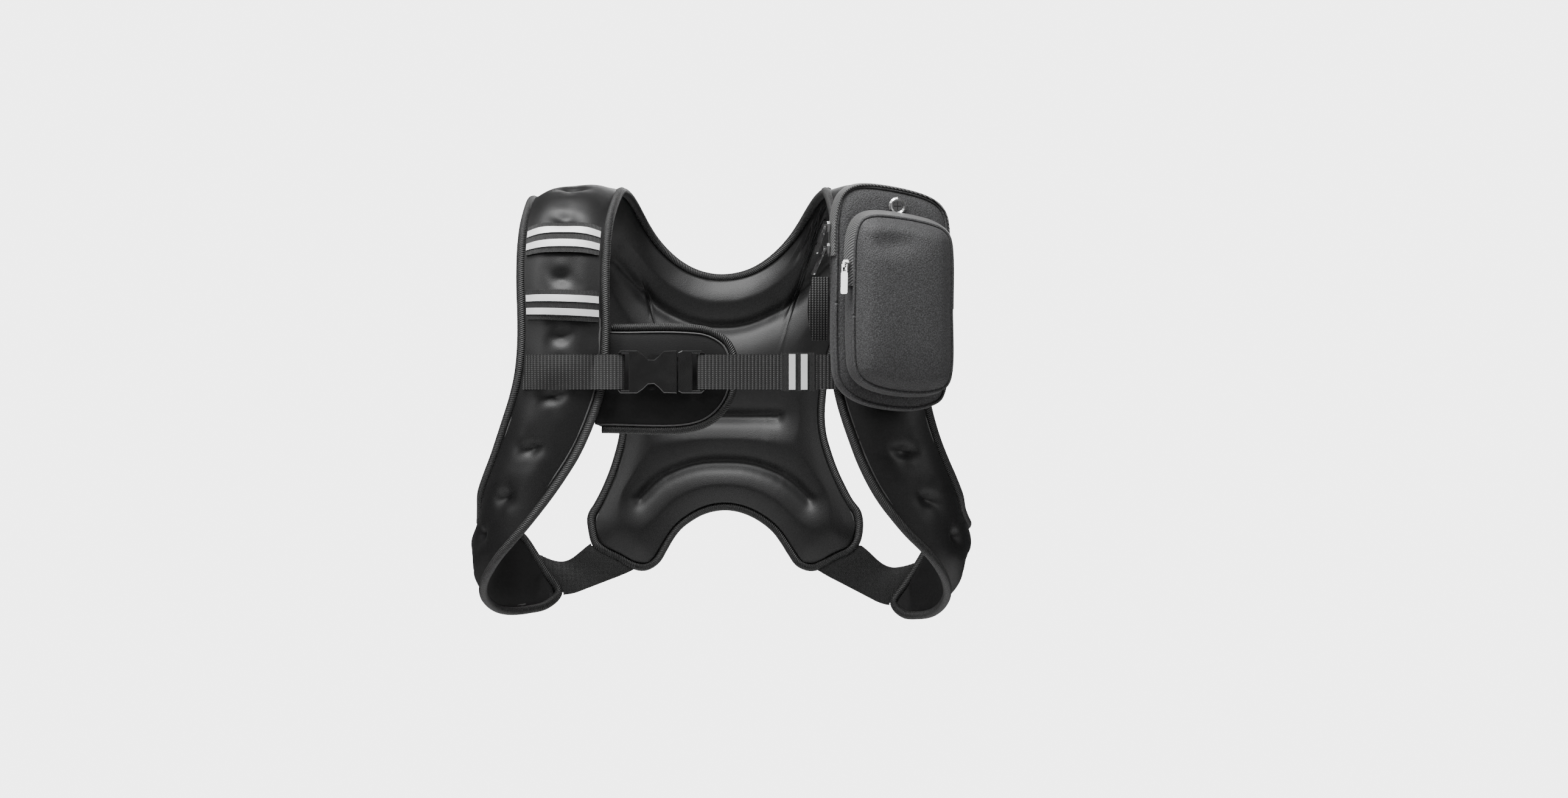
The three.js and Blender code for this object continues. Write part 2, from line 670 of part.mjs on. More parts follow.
// The pad behind the buckle: its corners in X and Z from the strap's inner edge and the chest line
const FLAP_LENGTH = 107;
const FLAP_TOP = 37;
const FLAP_BOTTOM = 48;
const FLAP_TUCK = 10;
const FLAP_Y = -0.928 * HALF_DEPTH;
const FLAP_OUTLINE = [
  [0, 1], [0.6, 1], [0.8, 0.93], [0.94, 0.7], [1, 0.38],
  [1, -0.28], [0.93, -0.62], [0.8, -0.88], [0.62, -1], [0, -1],
];

const flapPoint = (share, up, start) => {
  const z = CHEST_HEIGHT + (up > 0 ? up * FLAP_TOP : up * FLAP_BOTTOM);
  const x = start + share * FLAP_LENGTH;
  return vec(x, FLAP_Y - 5 * smooth(share * 1.4), z);
};

function makeFlap() {
  const start = -strapRows[5].innerX * HALF_WIDTH;
  const rim = FLAP_OUTLINE.map(([share, up]) => flapPoint(share, up, start));
  rim[0].x += EDGE_INSET + 1;
  rim[rim.length - 1].x -= 3;
  add("flap_binding", tube(rim, FLAP_BINDING_RADIUS, 11), BINDING);
  const across = 10;
  const half = FLAP_THICKNESS / 2;
  const clear = FLAP_BINDING_RADIUS + 8 * GAP;
  const upper = new THREE.CatmullRomCurve3(rim.slice(0, 6), false, "centripetal");
  const lower = new THREE.CatmullRomCurve3(rim.slice(5).reverse(), false, "centripetal");
  const flap = slab(across, 5, (u, v) => {
    const top = upper.getPointAt(u * 0.93);
    const bottom = lower.getPointAt(u * 0.93);
    const span = top.distanceTo(bottom);
    const point = top.clone().lerp(bottom, mix(clear / span, 1 - clear / span, v));
    if (u > 0.8) point.x -= (clear * (u - 0.8)) / 0.2;
    if (u === 0) point.x = start - FLAP_TUCK;
    return [vec(point.x, point.y - half, point.z), vec(point.x, point.y + half, point.z)];
  });
  add("buckle_flap", flap, NEOPRENE);
}

// The chest strap: each end is sewn to a shoulder strap and folded round the buckle's bar
const barRight = BUCKLE_X - BUCKLE_LENGTH / 2 + BAR_LENGTH / 2;
const barLeft = BUCKLE_X + BUCKLE_LENGTH / 2 - BAR_LENGTH / 2;
const wrap = WEBBING_THICKNESS / 2 + GAP;
const BAR_DEPTH = 3.6;
const CORNER_ROOM = 1.25;
const wrapRadius = (BAR_DEPTH / 2 + wrap) * CORNER_ROOM;

function chestWebbing(strap, bar, coverage) {
  const side = strap.side;
  const rise = LAID_GAP + WEBBING_THICKNESS / 2;
  const row = (z) => {
    const distance = WEBBING_AT - (z - CHEST_HEIGHT);
    const path = [];
    const onStrap = 8;
    for (let i = 0; i <= onStrap; i++) {
      const u = mix(coverage, 0.04, i / onStrap);
      const at = strap.place(u, distance, rise);
      path.push({ point: vec(at.face.x, at.face.y, z), normal: at.normal });
    }
    const forward = vec(0, -1, 0);
    const radius = wrapRadius;
    const last = path.at(-1).point;
    const landing = vec(bar + side * 5, BUCKLE_Y - radius, z);
    for (const share of [0.35, 0.75, 1]) {
      const point = last.clone().lerp(landing, share);
      point.z = z;
      path.push({ point, normal: forward });
    }
    for (let turn = 30; turn <= 150; turn += 30) {
      const angle = toRadians(turn);
      const normal = vec(-side * Math.sin(angle), -Math.cos(angle), 0);
      const point = vec(bar, BUCKLE_Y, z);
      point.x += normal.x * (BAR_LENGTH / 2 + wrap) * CORNER_ROOM;
      point.y += normal.y * radius;
      path.push({ point, normal });
    }
    path.push({ point: vec(bar, BUCKLE_Y + radius, z), normal: vec(0, 1, 0) });
    return path;
  };
  const steps = row(CHEST_HEIGHT).length - 1;
  return slab(2, steps, (u, v) => {
    const z = CHEST_HEIGHT + (u - 0.5) * WEBBING_WIDTH;
    const { point, normal } = row(z)[Math.round(v * steps)];
    return [
      point.clone().addScaledVector(normal, WEBBING_THICKNESS / 2),
      point.clone().addScaledVector(normal, -WEBBING_THICKNESS / 2),
    ];
  });
}

// Outlines as shares of the socket's length and half its height
const SOCKET_OUTLINE = [
  [0, 0.8], [0.06, 1], [0.34, 1], [0.44, 0.8], [0.52, 0.58], [0.62, 0.56], [0.7, 0.74], [0.78, 0.98], [1, 1],
];
const PLUG_OUTLINE = [[0, 0.9], [0.15, 1], [0.88, 1], [1, 0.86]];
const PRONG_OUTLINE = [
  [0, 0.78], [-0.25, 0.8], [-0.72, 0.92], [-0.9, 0.98], [-1, 0.8], [-0.92, 0.6], [-0.3, 0.55], [0, 0.55],
];

const bothSides = (outline, length, half, from) => {
  const upper = outline.map(([x, z]) => [from + x * length, z * half]);
  return [...upper, ...upper.map(([x, z]) => [x, -z]).reverse()];
};
const rectangle = (x0, x1, half) => [[x0, -half], [x1, -half], [x1, half], [x0, half]];

function makeBuckle() {
  const half = BUCKLE_HEIGHT / 2;
  const left = BUCKLE_X - BUCKLE_LENGTH / 2;
  const mouth = left + SOCKET_LENGTH;
  const slotHalf = WEBBING_WIDTH / 2 + 0.8;
  const socketSlot = rectangle(left + BAR_LENGTH, left + BAR_LENGTH + SLOT_LENGTH, slotHalf);
  const socketShape = bothSides(SOCKET_OUTLINE, SOCKET_LENGTH, half, left);
  const prongReach = SOCKET_LENGTH * 0.56;
  const cavity = block(prongReach + 2, PRONG_THICKNESS + 2 * GAP, 2 * half - 2.6, mouth - prongReach / 2 + 1);
  const relief = [-1, 1].map((face) =>
    block(BAR_LENGTH + 2, BUCKLE_THICKNESS, 2 * slotHalf, left + BAR_LENGTH / 2 - 1,
      face * (BUCKLE_THICKNESS / 2 + BAR_DEPTH / 2), 0));
  const socket = carve(plate(socketShape, BUCKLE_THICKNESS, BUCKLE_BEVEL, [socketSlot]), cavity, ...relief);
  const place = (geometry) => geometry.translate(0, BUCKLE_Y, CHEST_HEIGHT);
  add("buckle_socket", place(socket), BUCKLE);

  const plugFrom = mouth + GAP + 0.7;
  const plugLength = left + BUCKLE_LENGTH - plugFrom;
  const plugShape = bothSides(PLUG_OUTLINE, plugLength, half, plugFrom);
  const end = left + BUCKLE_LENGTH;
  const plugSlot = rectangle(end - BAR_LENGTH - SLOT_LENGTH, end - BAR_LENGTH, slotHalf);
  const prongHalf = half - 1.3 - GAP - 0.5;
  const prongs = [1, -1].map((flip) => {
    const outline = PRONG_OUTLINE.map(([x, z]) =>
      [plugFrom + PRONG_ROOT + x * (prongReach - 1), flip * z * prongHalf]);
    return plate(flip > 0 ? outline : outline.reverse(), PRONG_THICKNESS);
  });
  const plugRelief = [-1, 1].map((face) =>
    block(BAR_LENGTH + 2, BUCKLE_THICKNESS, 2 * slotHalf, end - BAR_LENGTH / 2 + 1,
      face * (BUCKLE_THICKNESS / 2 + BAR_DEPTH / 2), 0));
  const body = plate(plugShape, BUCKLE_THICKNESS - 1, BUCKLE_BEVEL, [plugSlot]);
  const plug = join(carve(body, ...plugRelief), ...prongs);
  add("buckle_plug", place(plug), BUCKLE);
}

function makeChestStrap() {
  add("right_webbing", chestWebbing(rightHandStrap, barRight, 0.98), WEBBING);
  add("left_webbing", chestWebbing(leftHandStrap, barLeft, 0.2), WEBBING);
  makeBuckle();
}

function keeperCentre() {
  const from = vec(barLeft + 5, BUCKLE_Y - wrapRadius, 0);
  const at = leftHandStrap.place(0.04, WEBBING_AT, LAID_GAP + WEBBING_THICKNESS / 2).face;
  const share = (KEEPER_X - from.x) / (at.x - from.x);
  return { y: mix(from.y, at.y, share), slope: (at.y - from.y) / (at.x - from.x) };
}

function makeKeeper() {
  const { y, slope } = keeperCentre();
  const bore = WEBBING_THICKNESS + 2 * GAP;
  const tall = WEBBING_WIDTH + 2 * GAP;
  const sleeve = carve(
    block(KEEPER_WIDTH, bore + 2 * KEEPER_WALL, tall + 2 * KEEPER_WALL),
    block(KEEPER_WIDTH + 2, bore, tall),
  );
  const put = (geometry) =>
    geometry.rotateZ(Math.atan(slope)).translate(KEEPER_X, y, CHEST_HEIGHT);
  add("webbing_keeper", put(sleeve), ELASTIC);
  const front = -(bore / 2 + KEEPER_WALL + GAP + STRIPE_THICKNESS / 2);
  for (const side of [-1, 1]) {
    const stripe = block(STRIPE_WIDTH, STRIPE_THICKNESS, tall, (side * (STRIPE_SPACING - 1)) / 2, front, 0);
    add("keeper_stripe_" + (side < 0 ? "a" : "b"), put(stripe), REFLECTIVE);
  }
}

// The pouch: its outline as shares of its width and height, clockwise from low on the inner side
const POUCH_OUTLINE = [
  [0, 0.2], [0, 0.66], [0.016, 0.874], [0.074, 0.968], [0.184, 1], [0.34, 1], [0.563, 0.984], [0.747, 0.962],
  [0.89, 0.933], [0.974, 0.887], [1, 0.785], [1, 0.47], [1, 0.15], [0.95, 0.045], [0.74, 0], [0.45, 0.005],
  [0.26, 0.027], [0.116, 0.064], [0.03, 0.113],
];
// How far the wall is drawn in at shares of its depth
const POUCH_WALL = [[0, 5], [0.15, 0.5], [0.5, 0], [0.85, 1.6], [1, 4.5]];
const POCKET_WALL = [[0, 2.2], [0.16, 0.3], [0.5, 1.6], [0.8, 4.6], [1, 9]];
const POUCH_SIDES = 40;
const POCKET_SIDES = 36;
const POUCH_ZIP = { from: 7, to: 24 };
const POCKET_ZIP = { from: 5, to: 22 };

function outlineOf(width, height, left, bottom) {
  const points = POUCH_OUTLINE.map(([x, z]) => vec(left + x * width, 0, bottom + z * height));
  return new THREE.CatmullRomCurve3(points, true, "centripetal");
}

const turn = toRadians(POUCH_TURN);
const pouchAcross = vec(Math.cos(turn), Math.sin(turn), 0);
const pouchFront = vec(Math.sin(turn), -Math.cos(turn), 0);

// The pouch's back lies on the fullest part of the strap behind it.
function pouchSeat() {
  let reach = -Infinity;
  const corner = vec(POUCH_LEFT, 0, 0);
  for (let distance = 60; distance <= 260; distance += 2)
    for (let u = 0; u <= 1; u += 0.05) {
      const at = leftHandStrap.place(u, distance).face;
      if (at.z > POUCH_BOTTOM) reach = Math.max(reach, at.sub(corner).dot(pouchFront));
    }
  return reach + GAP;
}
const pouchBase = vec(POUCH_LEFT, -pouchSeat() / Math.cos(turn), 0);

const inPouch = (across, depth, up) =>
  pouchBase.clone().addScaledVector(pouchAcross, across).addScaledVector(pouchFront, depth)
    .add(vec(0, 0, up));

function drawnIn(wall, share) {
  const next = Math.max(1, wall.findIndex(([depth]) => depth >= share));
  const [a, b] = [wall[next - 1], wall[next]];
  return mix(a[1], b[1], (share - a[0]) / (b[0] - a[0]));
}

// A bag's wall: at(t, share, rise) is a point round its outline, at a share of its depth.
function bagWall(outline, wall, base, depth) {
  return (t, share, rise = 0) => {
    const point = outline.getPointAt(((t % 1) + 1) % 1);
    const ahead = outline.getTangentAt(((t % 1) + 1) % 1);
    const outward = vec(-ahead.z, 0, ahead.x);
    point.addScaledVector(outward, rise - drawnIn(wall, share));
    return inPouch(point.x, base + share * depth, point.z);
  };
}

function bag(at, wall, sides, crown) {
  const ring = (share, rise) => {
    const points = [];
    for (let i = 0; i < sides; i++) points.push(at(i / sides, share, rise));
    return points;
  };
  const rings = wall.map(([share]) => ring(share, 0));
  for (const { drawn, lift } of crown) {
    const points = ring(1, -drawn);
    rings.push(points.map((p) => p.addScaledVector(pouchFront, lift)));
  }
  return loft(rings);
}

const pouchOutline = outlineOf(POUCH_WIDTH, POUCH_HEIGHT, 0, POUCH_BOTTOM);
const POCKET_HEIGHT = POUCH_HEIGHT - POUCH_HEAD;
const pocketOutline = outlineOf(POCKET_WIDTH, POCKET_HEIGHT, POCKET_INSET, POUCH_BOTTOM + POCKET_RISE);
const shellWall = bagWall(pouchOutline, POUCH_WALL, 0, POUCH_DEPTH);
const pocketBase = POUCH_DEPTH + GAP;
const pocketWall = bagWall(pocketOutline, POCKET_WALL, pocketBase, POCKET_DEPTH);

// Zip tape on a wall, between two of the outline's sides
function zipTrack(at, wall, sides, { from, to }) {
  const shares = wall.slice(1, -1).map(([share]) => share);
  return slab(shares.length - 1, to - from, (u, v) => {
    const t = mix(from, to, v) / sides;
    const share = shares[Math.round(u * (shares.length - 1))];
    return [at(t, share, GAP), at(t, share, GAP + ZIP_THICKNESS)];
  });
}

// A slider with its pull, hung at a point of a wall
function sliderFrame(point, outward) {
  const up = vec(0, 0, 1);
  const axis = outward.clone().cross(up).normalize();
  const frame = new THREE.Matrix4().makeBasis(axis, outward, axis.clone().cross(outward));
  return frame.setPosition(point);
}

const AXIS_HEIGHT = SLIDER_THICKNESS + 1.1;

function sliderSolid() {
  const half = SLIDER_WIDTH / 2;
  const long = SLIDER_LENGTH / 2;
  const outline = [[-half, long * 0.5], [-half * 0.6, long], [half * 0.6, long], [half, long * 0.5],
    [half * 0.5, -long], [-half * 0.5, -long]].reverse();
  const body = plate(outline, SLIDER_THICKNESS, 0.4).translate(0, SLIDER_THICKNESS / 2, 0);
  const legReach = 1.1 + BRIDGE_BAR;
  const tall = AXIS_HEIGHT + 1 + BRIDGE_BAR;
  const bridge = carve(
    block(BRIDGE_WIDTH, tall - 1, 2 * legReach, 0, (tall + 1) / 2, 0),
    block(BRIDGE_WIDTH + 2, tall - SLIDER_THICKNESS - BRIDGE_BAR, 2.2, 0,
      (tall - BRIDGE_BAR + SLIDER_THICKNESS) / 2, 0),
  );
  return join(body, bridge);
}

function pullSolid() {
  const half = PULL_WIDTH / 2;
  const eyeHalf = BRIDGE_WIDTH / 2 + 0.6;
  const bar = 0.55;
  const eyeEnd = -6;
  const neck = half * 0.82;
  const left = [
    [-neck, bar], [-neck, eyeEnd], [-half, eyeEnd - 1], [-half, -PULL_LENGTH + 1], [-half + 1, -PULL_LENGTH],
  ];
  const outline = [...left, ...left.map(([x, z]) => [-x, z]).reverse()];
  const eye = [[-eyeHalf, -bar], [-eyeHalf, eyeEnd + 0.6], [eyeHalf, eyeEnd + 0.6], [eyeHalf, -bar]];
  return plate(outline, PULL_THICKNESS, 0, [eye]);
}

const outwardOf = (side, front) =>
  pouchAcross.clone().multiplyScalar(-side).addScaledVector(pouchFront, front).normalize();

const SLIDERS = {
  pocket: { z: -56, share: 0.5, wall: pocketWall, outward: outwardOf(0.72, 0.69), lean: 2, lift: 1.6 },
  upper: { z: -24, share: 0.42, wall: shellWall, outward: outwardOf(1, 0.12), lean: 20, lift: 0.5 },
  lower: { z: -42, share: 0.42, wall: shellWall, outward: outwardOf(1, 0.12), lean: 26, lift: 0.5 },
};

function wallPointAt(at, share, z, rise) {
  let best = null;
  for (let t = 0; t < 0.26; t += 0.0005) {
    const point = at(t, share, rise);
    if (!best || Math.abs(point.z - z) < Math.abs(best.z - z)) best = point;
  }
  return best;
}

function sliderSeat({ wall, share, z, outward, lift }) {
  return wallPointAt(wall, share, z, 0).addScaledVector(outward, 2 * GAP + ZIP_THICKNESS + lift);
}

function makeSliders() {
  for (const [name, slider] of Object.entries(SLIDERS)) {
    const frame = sliderFrame(sliderSeat(slider), slider.outward);
    add(name + "_slider", sliderSolid().applyMatrix4(frame), CHROME);
    const hang = new THREE.Matrix4().makeTranslation(0, AXIS_HEIGHT, 0);
    hang.multiply(new THREE.Matrix4().makeRotationX(toRadians(slider.lean)));
    add(name + "_pull", pullSolid().applyMatrix4(frame.clone().multiply(hang)), CHROME);
  }
}

function makeGrommet() {
  const ring = new THREE.LatheGeometry([
    [GROMMET_RADIUS * 0.6, 0], [GROMMET_RADIUS, 0], [GROMMET_RADIUS, GROMMET_THICKNESS * 0.5],
    [GROMMET_RADIUS * 0.8, GROMMET_THICKNESS], [GROMMET_RADIUS * 0.6, GROMMET_THICKNESS * 0.6],
    [GROMMET_RADIUS * 0.6, 0],
  ].map(([x, y]) => new THREE.Vector2(x, y)), 16);
  const discRadius = GROMMET_RADIUS * 0.6 - GAP;
  const disc = new THREE.CylinderGeometry(discRadius, discRadius, GROMMET_THICKNESS * 0.5, 16)
    .translate(0, GROMMET_THICKNESS * 0.25, 0);
  const slot = 0.7;
  const cross = [block(slot, 3, discRadius * 1.5), block(discRadius * 1.5, 3, slot)];
  const plug = carve(disc, ...cross);
  const at = inPouch(GROMMET_ACROSS * POUCH_WIDTH, POUCH_DEPTH + GAP,
    POUCH_BOTTOM + POUCH_HEIGHT - GROMMET_DROP);
  const up = vec(0, 0, 1);
  const frame = new THREE.Matrix4()
    .makeBasis(pouchFront.clone().cross(up).normalize(), pouchFront, up.clone().negate())
    .setPosition(at);
  for (const [name, geometry, material] of [["grommet_ring", ring, CHROME], ["grommet_plug", plug, RUBBER]]) {
    const placed = geometry.applyMatrix4(frame);
    add(name, turnedOut(placed), material);
  }
}

// The same surface with its faces turned out
function turnedOut(geometry) {
  const bare = geometry.clone();
  bare.deleteAttribute("normal");
  bare.deleteAttribute("uv");
  const merged = mergeVertices(bare, 1e-3);
  const points = [];
  const position = merged.attributes.position;
  for (let i = 0; i < position.count; i++) points.push(vec(0, 0, 0).fromBufferAttribute(position, i));
  const index = Array.from(merged.index.array);
  return geometryOf(points, index);
}

function makePouch() {
  add("pouch_shell", bag(shellWall, POUCH_WALL, POUCH_SIDES, []), KNIT);
  add("pouch_zip", zipTrack(shellWall, POUCH_WALL, POUCH_SIDES, POUCH_ZIP), ZIP);
  const crown = [{ drawn: 6, lift: 1.6 }, { drawn: 20, lift: 3 }];
  add("front_pocket", bag(pocketWall, POCKET_WALL, POCKET_SIDES, crown), KNIT);
  add("pocket_zip", zipTrack(pocketWall, POCKET_WALL, POCKET_SIDES, POCKET_ZIP), ZIP);
  makeGrommet();
  makeSliders();
}

// A webbing loop sewn beside the pouch, bowed towards the middle
function makePouchLoop() {
  const edge = leftHandStrap.edges.inner;
  return slab(2, 8, (u, v) => {
    const z = LOOP_TOP - v * LOOP_LENGTH;
    const bow = LOOP_BOW * Math.sin(Math.PI * v);
    const strapX = edge.getPoint(leftHandStrap.timeAt(110 + v * 50)).x;
    const x = strapX - EDGE_INSET - 0.2 - u * LOOP_WIDTH - bow * u;
    const y = -0.99 * HALF_DEPTH - 3 * u - bow;
    return [vec(x, y, z), vec(x - 0.2, y - WEBBING_THICKNESS, z)];
  });
}

makeStraps();
makeBack();
makeBackTrim();
add("right_side_band", makeSideBand(rightHandStrap), ELASTIC);
add("left_side_band", makeSideBand(leftHandStrap), ELASTIC);
makeFlap();
makeChestStrap();
makeKeeper();
makePouch();
add("pouch_loop", makePouchLoop(), WEBBING);

export default vest;
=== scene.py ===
# %% [markdown]
# # A padded weighted vest
# The frame holds the measured solids of the vest. This script dresses it: padded cloth for the
# straps and back, ribbed tape along the edges, woven webbing, a knitted pouch and bright zip pulls.
# Lengths are in metres, +Z is up, and the wearer faces -Y.

import math

import bmesh
import bpy
import numpy as np
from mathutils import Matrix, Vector
from mathutils.bvhtree import BVHTree
from mathutils.kdtree import KDTree


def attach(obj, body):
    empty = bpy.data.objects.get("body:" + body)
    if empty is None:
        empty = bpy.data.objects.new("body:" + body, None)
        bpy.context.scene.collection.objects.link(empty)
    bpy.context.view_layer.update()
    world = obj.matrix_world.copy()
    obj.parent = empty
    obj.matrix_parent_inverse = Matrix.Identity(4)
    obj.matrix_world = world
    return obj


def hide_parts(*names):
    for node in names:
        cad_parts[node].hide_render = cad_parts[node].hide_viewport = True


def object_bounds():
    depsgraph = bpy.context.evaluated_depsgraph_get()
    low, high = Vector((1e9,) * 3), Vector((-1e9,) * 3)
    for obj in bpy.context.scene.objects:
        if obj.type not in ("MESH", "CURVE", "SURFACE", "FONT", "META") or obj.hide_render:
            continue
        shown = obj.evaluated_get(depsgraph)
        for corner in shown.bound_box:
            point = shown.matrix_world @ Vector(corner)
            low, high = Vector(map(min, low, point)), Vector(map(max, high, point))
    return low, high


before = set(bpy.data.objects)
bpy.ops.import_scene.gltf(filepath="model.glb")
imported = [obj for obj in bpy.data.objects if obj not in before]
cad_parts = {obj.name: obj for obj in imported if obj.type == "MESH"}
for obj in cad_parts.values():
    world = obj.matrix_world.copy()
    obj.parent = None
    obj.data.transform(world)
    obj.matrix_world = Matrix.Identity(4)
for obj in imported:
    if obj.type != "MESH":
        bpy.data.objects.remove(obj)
cad_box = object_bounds()
print("nodes", len(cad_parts))

# %% [markdown]
# ## The camera
# The vest is seen straight from the front, a little to the right of its middle. A long lens from
# four metres keeps the picture as flat as a catalogue view.

# %% Camera
CAMERA_PLACE = (0.0504, -4.0, -0.1663)
LENS = 107.5
bpy.ops.object.camera_add(location=CAMERA_PLACE, rotation=(math.pi / 2, 0, 0))
camera = bpy.context.object
camera.data.lens = LENS
camera.data.sensor_width = 36
bpy.context.scene.camera = camera
print("camera at", tuple(camera.location))

# %% [markdown]
# ## Light and floor
# A black vest shows its form only by soft reflections, so large panels of light stand above, left
# and right of it. The vest hangs at chest height over a pale floor, so that from the front the lens
# sees only the plain background.

# %% Lights, floor and background
def panel_light(name, place, aim, size, power):
    bpy.ops.object.light_add(type="AREA", location=place)
    light = bpy.context.object
    light.name = name
    light.data.shape = "RECTANGLE"
    light.data.size, light.data.size_y = size
    light.data.energy = power
    direction = Vector(aim) - Vector(place)
    light.rotation_euler = direction.to_track_quat("-Z", "Y").to_euler()
    return light


MIDDLE = (0, 0, -0.17)
panel_light("top_light", (-0.25, -0.6, 1.0), MIDDLE, (1.3, 0.6), 50)
panel_light("left_light", (-1.5, -0.9, 0.4), MIDDLE, (0.4, 1.2), 14)
panel_light("right_light", (1.6, -0.7, 0.3), MIDDLE, (0.4, 1.2), 10)
panel_light("front_light", (0.1, -2.7, 1.1), MIDDLE, (1.2, 0.6), 4)
panel_light("back_light", (0.3, 1.9, 0.6), MIDDLE, (1.2, 1.0), 20)

FLOOR_HEIGHT = -1.1
bpy.ops.mesh.primitive_plane_add(size=3, location=(0, 0, FLOOR_HEIGHT))
floor = bpy.context.object
floor.name = "floor"

world = bpy.data.worlds.new("studio")
bpy.context.scene.world = world
world.use_nodes = True
sky = world.node_tree
seen = sky.nodes["Background"]
seen.inputs["Color"].default_value = (1, 1, 1, 1)
seen.inputs["Strength"].default_value = 4.5
fill = sky.nodes.new("ShaderNodeBackground")
fill.inputs["Strength"].default_value = 0.03
choice = sky.nodes.new("ShaderNodeMixShader")
sky.links.new(sky.nodes.new("ShaderNodeLightPath").outputs["Is Camera Ray"], choice.inputs[0])
sky.links.new(fill.outputs[0], choice.inputs[1])
sky.links.new(seen.outputs[0], choice.inputs[2])
sky.links.new(choice.outputs[0], sky.nodes["World Output"].inputs["Surface"])

# %% [markdown]
# ## Writing finishes
# Each finish is a small network of shader nodes. `Number` wraps a socket, so that a pattern reads
# as plain arithmetic, and `Finish` adds any other node by its type, settings and inputs.

# %% Shader helpers
class Number:
    def __init__(self, finish, socket):
        self.finish = finish
        self.socket = socket

    def __add__(self, other):
        return self.finish.math("ADD", self, other)

    def __sub__(self, other):
        return self.finish.math("SUBTRACT", self, other)

    def __rsub__(self, other):
        return self.finish.math("SUBTRACT", other, self)

    def __mul__(self, other):
        return self.finish.math("MULTIPLY", self, other)

    __radd__ = __add__
    __rmul__ = __mul__


class Finish:
    def __init__(self, name, **constants):
        self.material = bpy.data.materials.new(name)
        self.material.use_nodes = True
        self.tree = self.material.node_tree
        self.shader = self.tree.nodes["Principled BSDF"]
        for socket, value in constants.items():
            self.shader.inputs[socket.replace("_", " ")].default_value = value

    def node(self, kind, settings=None, **inputs):
        node = self.tree.nodes.new("ShaderNode" + kind)
        for key, value in (settings or {}).items():
            setattr(node, key, value)
        for key, value in inputs.items():
            self.put(node.inputs[int(key[1:]) if key[1:].isdigit() else key.replace("_", " ")], value)
        return node

    def put(self, socket, value):
        if isinstance(value, Number):
            value = value.socket
        if isinstance(value, bpy.types.NodeSocket):
            self.tree.links.new(value, socket)
        else:
            socket.default_value = value

    def math(self, operation, *values):
        inputs = {"i" + str(i): value for i, value in enumerate(values)}
        node = self.node("Math", {"operation": operation}, **inputs)
        return Number(self, node.outputs[0])

    def wave(self, value, period):
        return self.math("SINE", value * (2 * math.pi / period)) * 0.5 + 0.5

    def step(self, value, low, high):
        node = self.node("MapRange", {"interpolation_type": "SMOOTHSTEP"}, Value=value)
        node.inputs["From Min"].default_value = low
        node.inputs["From Max"].default_value = high
        return Number(self, node.outputs["Result"])

    def place(self, source="Object"):
        node = self.node("TexCoord")
        split = self.node("SeparateXYZ", Vector=node.outputs[source])
        return [Number(self, socket) for socket in split.outputs]

    def noise(self, scale, detail=2.0, source="Object", stretch=None):
        vector = self.node("TexCoord").outputs[source]
        if stretch:
            vector = self.node("Mapping", Vector=vector, Scale=stretch).outputs[0]
        node = self.node("TexNoise", Vector=vector, Scale=scale, Detail=detail)
        return Number(self, node.outputs[0])

    def cells(self, scale, source="Object"):
        vector = self.node("TexCoord").outputs[source]
        node = self.node("TexVoronoi", Vector=vector, Scale=scale)
        return Number(self, node.outputs["Distance"])

    def blend(self, share, dark, light):
        node = self.node("Mix", {"data_type": "RGBA"}, Factor=share)
        self.put(node.inputs[6], (*dark, 1) if isinstance(dark, tuple) else dark)
        self.put(node.inputs[7], (*light, 1) if isinstance(light, tuple) else light)
        return node.outputs[2]

    def color(self, socket):
        self.put(self.shader.inputs["Base Color"], socket)

    def rough(self, value):
        self.put(self.shader.inputs["Roughness"], value)

    def bump(self, height, distance, strength=1.0):
        node = self.node("Bump", Height=height, Distance=distance, Strength=strength)
        self.put(self.shader.inputs["Normal"], node.outputs[0])


def grey(level, tint=0.0):
    return (level, level, level * (1 + tint))


# %% [markdown]
# ## Neoprene
# The pads are foam rubber faced with a fine black jersey. It is nearly black, with a soft satin
# shine on the full places. A fine grain breaks up the shine, and slow cloudy changes of tone keep
# the large faces from looking printed.

# %% Neoprene
def neoprene():
    finish = Finish("neoprene", Sheen_Weight=0.02, Sheen_Roughness=0.35, Specular_IOR_Level=0.42)
    clouds = finish.noise(16, 3)
    grain = finish.noise(2600, 3)
    knit = finish.cells(1500)
    finish.color(finish.blend(clouds * 0.6 + grain * 0.4, grey(0.0028), grey(0.0075, 0.05)))
    finish.rough(clouds * 0.08 + grain * 0.08 + 0.42)
    finish.bump(grain * 0.5 + knit * 0.6, 0.00016, 0.7)
    return finish.material


NEOPRENE = neoprene()
print(NEOPRENE.name)

# %% [markdown]
# ## Edge tape
# The bound edges are covered with a narrow ribbed tape. Its ribs cross the edge, and a paler
# thread lies between some of them. The pattern follows the tape, so it reads the piece's own UV
# map, which holds metres round the tape and metres along it.

# %% Edge tape
RIB = 0.0017


def edge_tape():
    finish = Finish("edge_tape", Sheen_Weight=0.03, Sheen_Roughness=0.4)
    around, along, _ = finish.place("UV")
    rib = finish.wave(along + around * 0.35, RIB)
    thread = finish.step(finish.wave(along + around * 0.35, RIB), 0.80, 0.97)
    speckle = finish.noise(900, 2)
    shine = thread * finish.step(speckle, 0.42, 0.62)
    finish.color(finish.blend(shine, grey(0.005), grey(0.05)))
    finish.rough(rib * 0.15 + 0.5)
    finish.bump(rib + speckle * 0.35, 0.0005, 0.9)
    return finish.material


EDGE_TAPE = edge_tape()
print(EDGE_TAPE.name)

# %% [markdown]
# ## Webbing
# The chest strap is a heavy woven band. Its ribs stand across the band, and small pale floats of
# thread show in rows between them. The UV map holds metres along the band and metres across it.

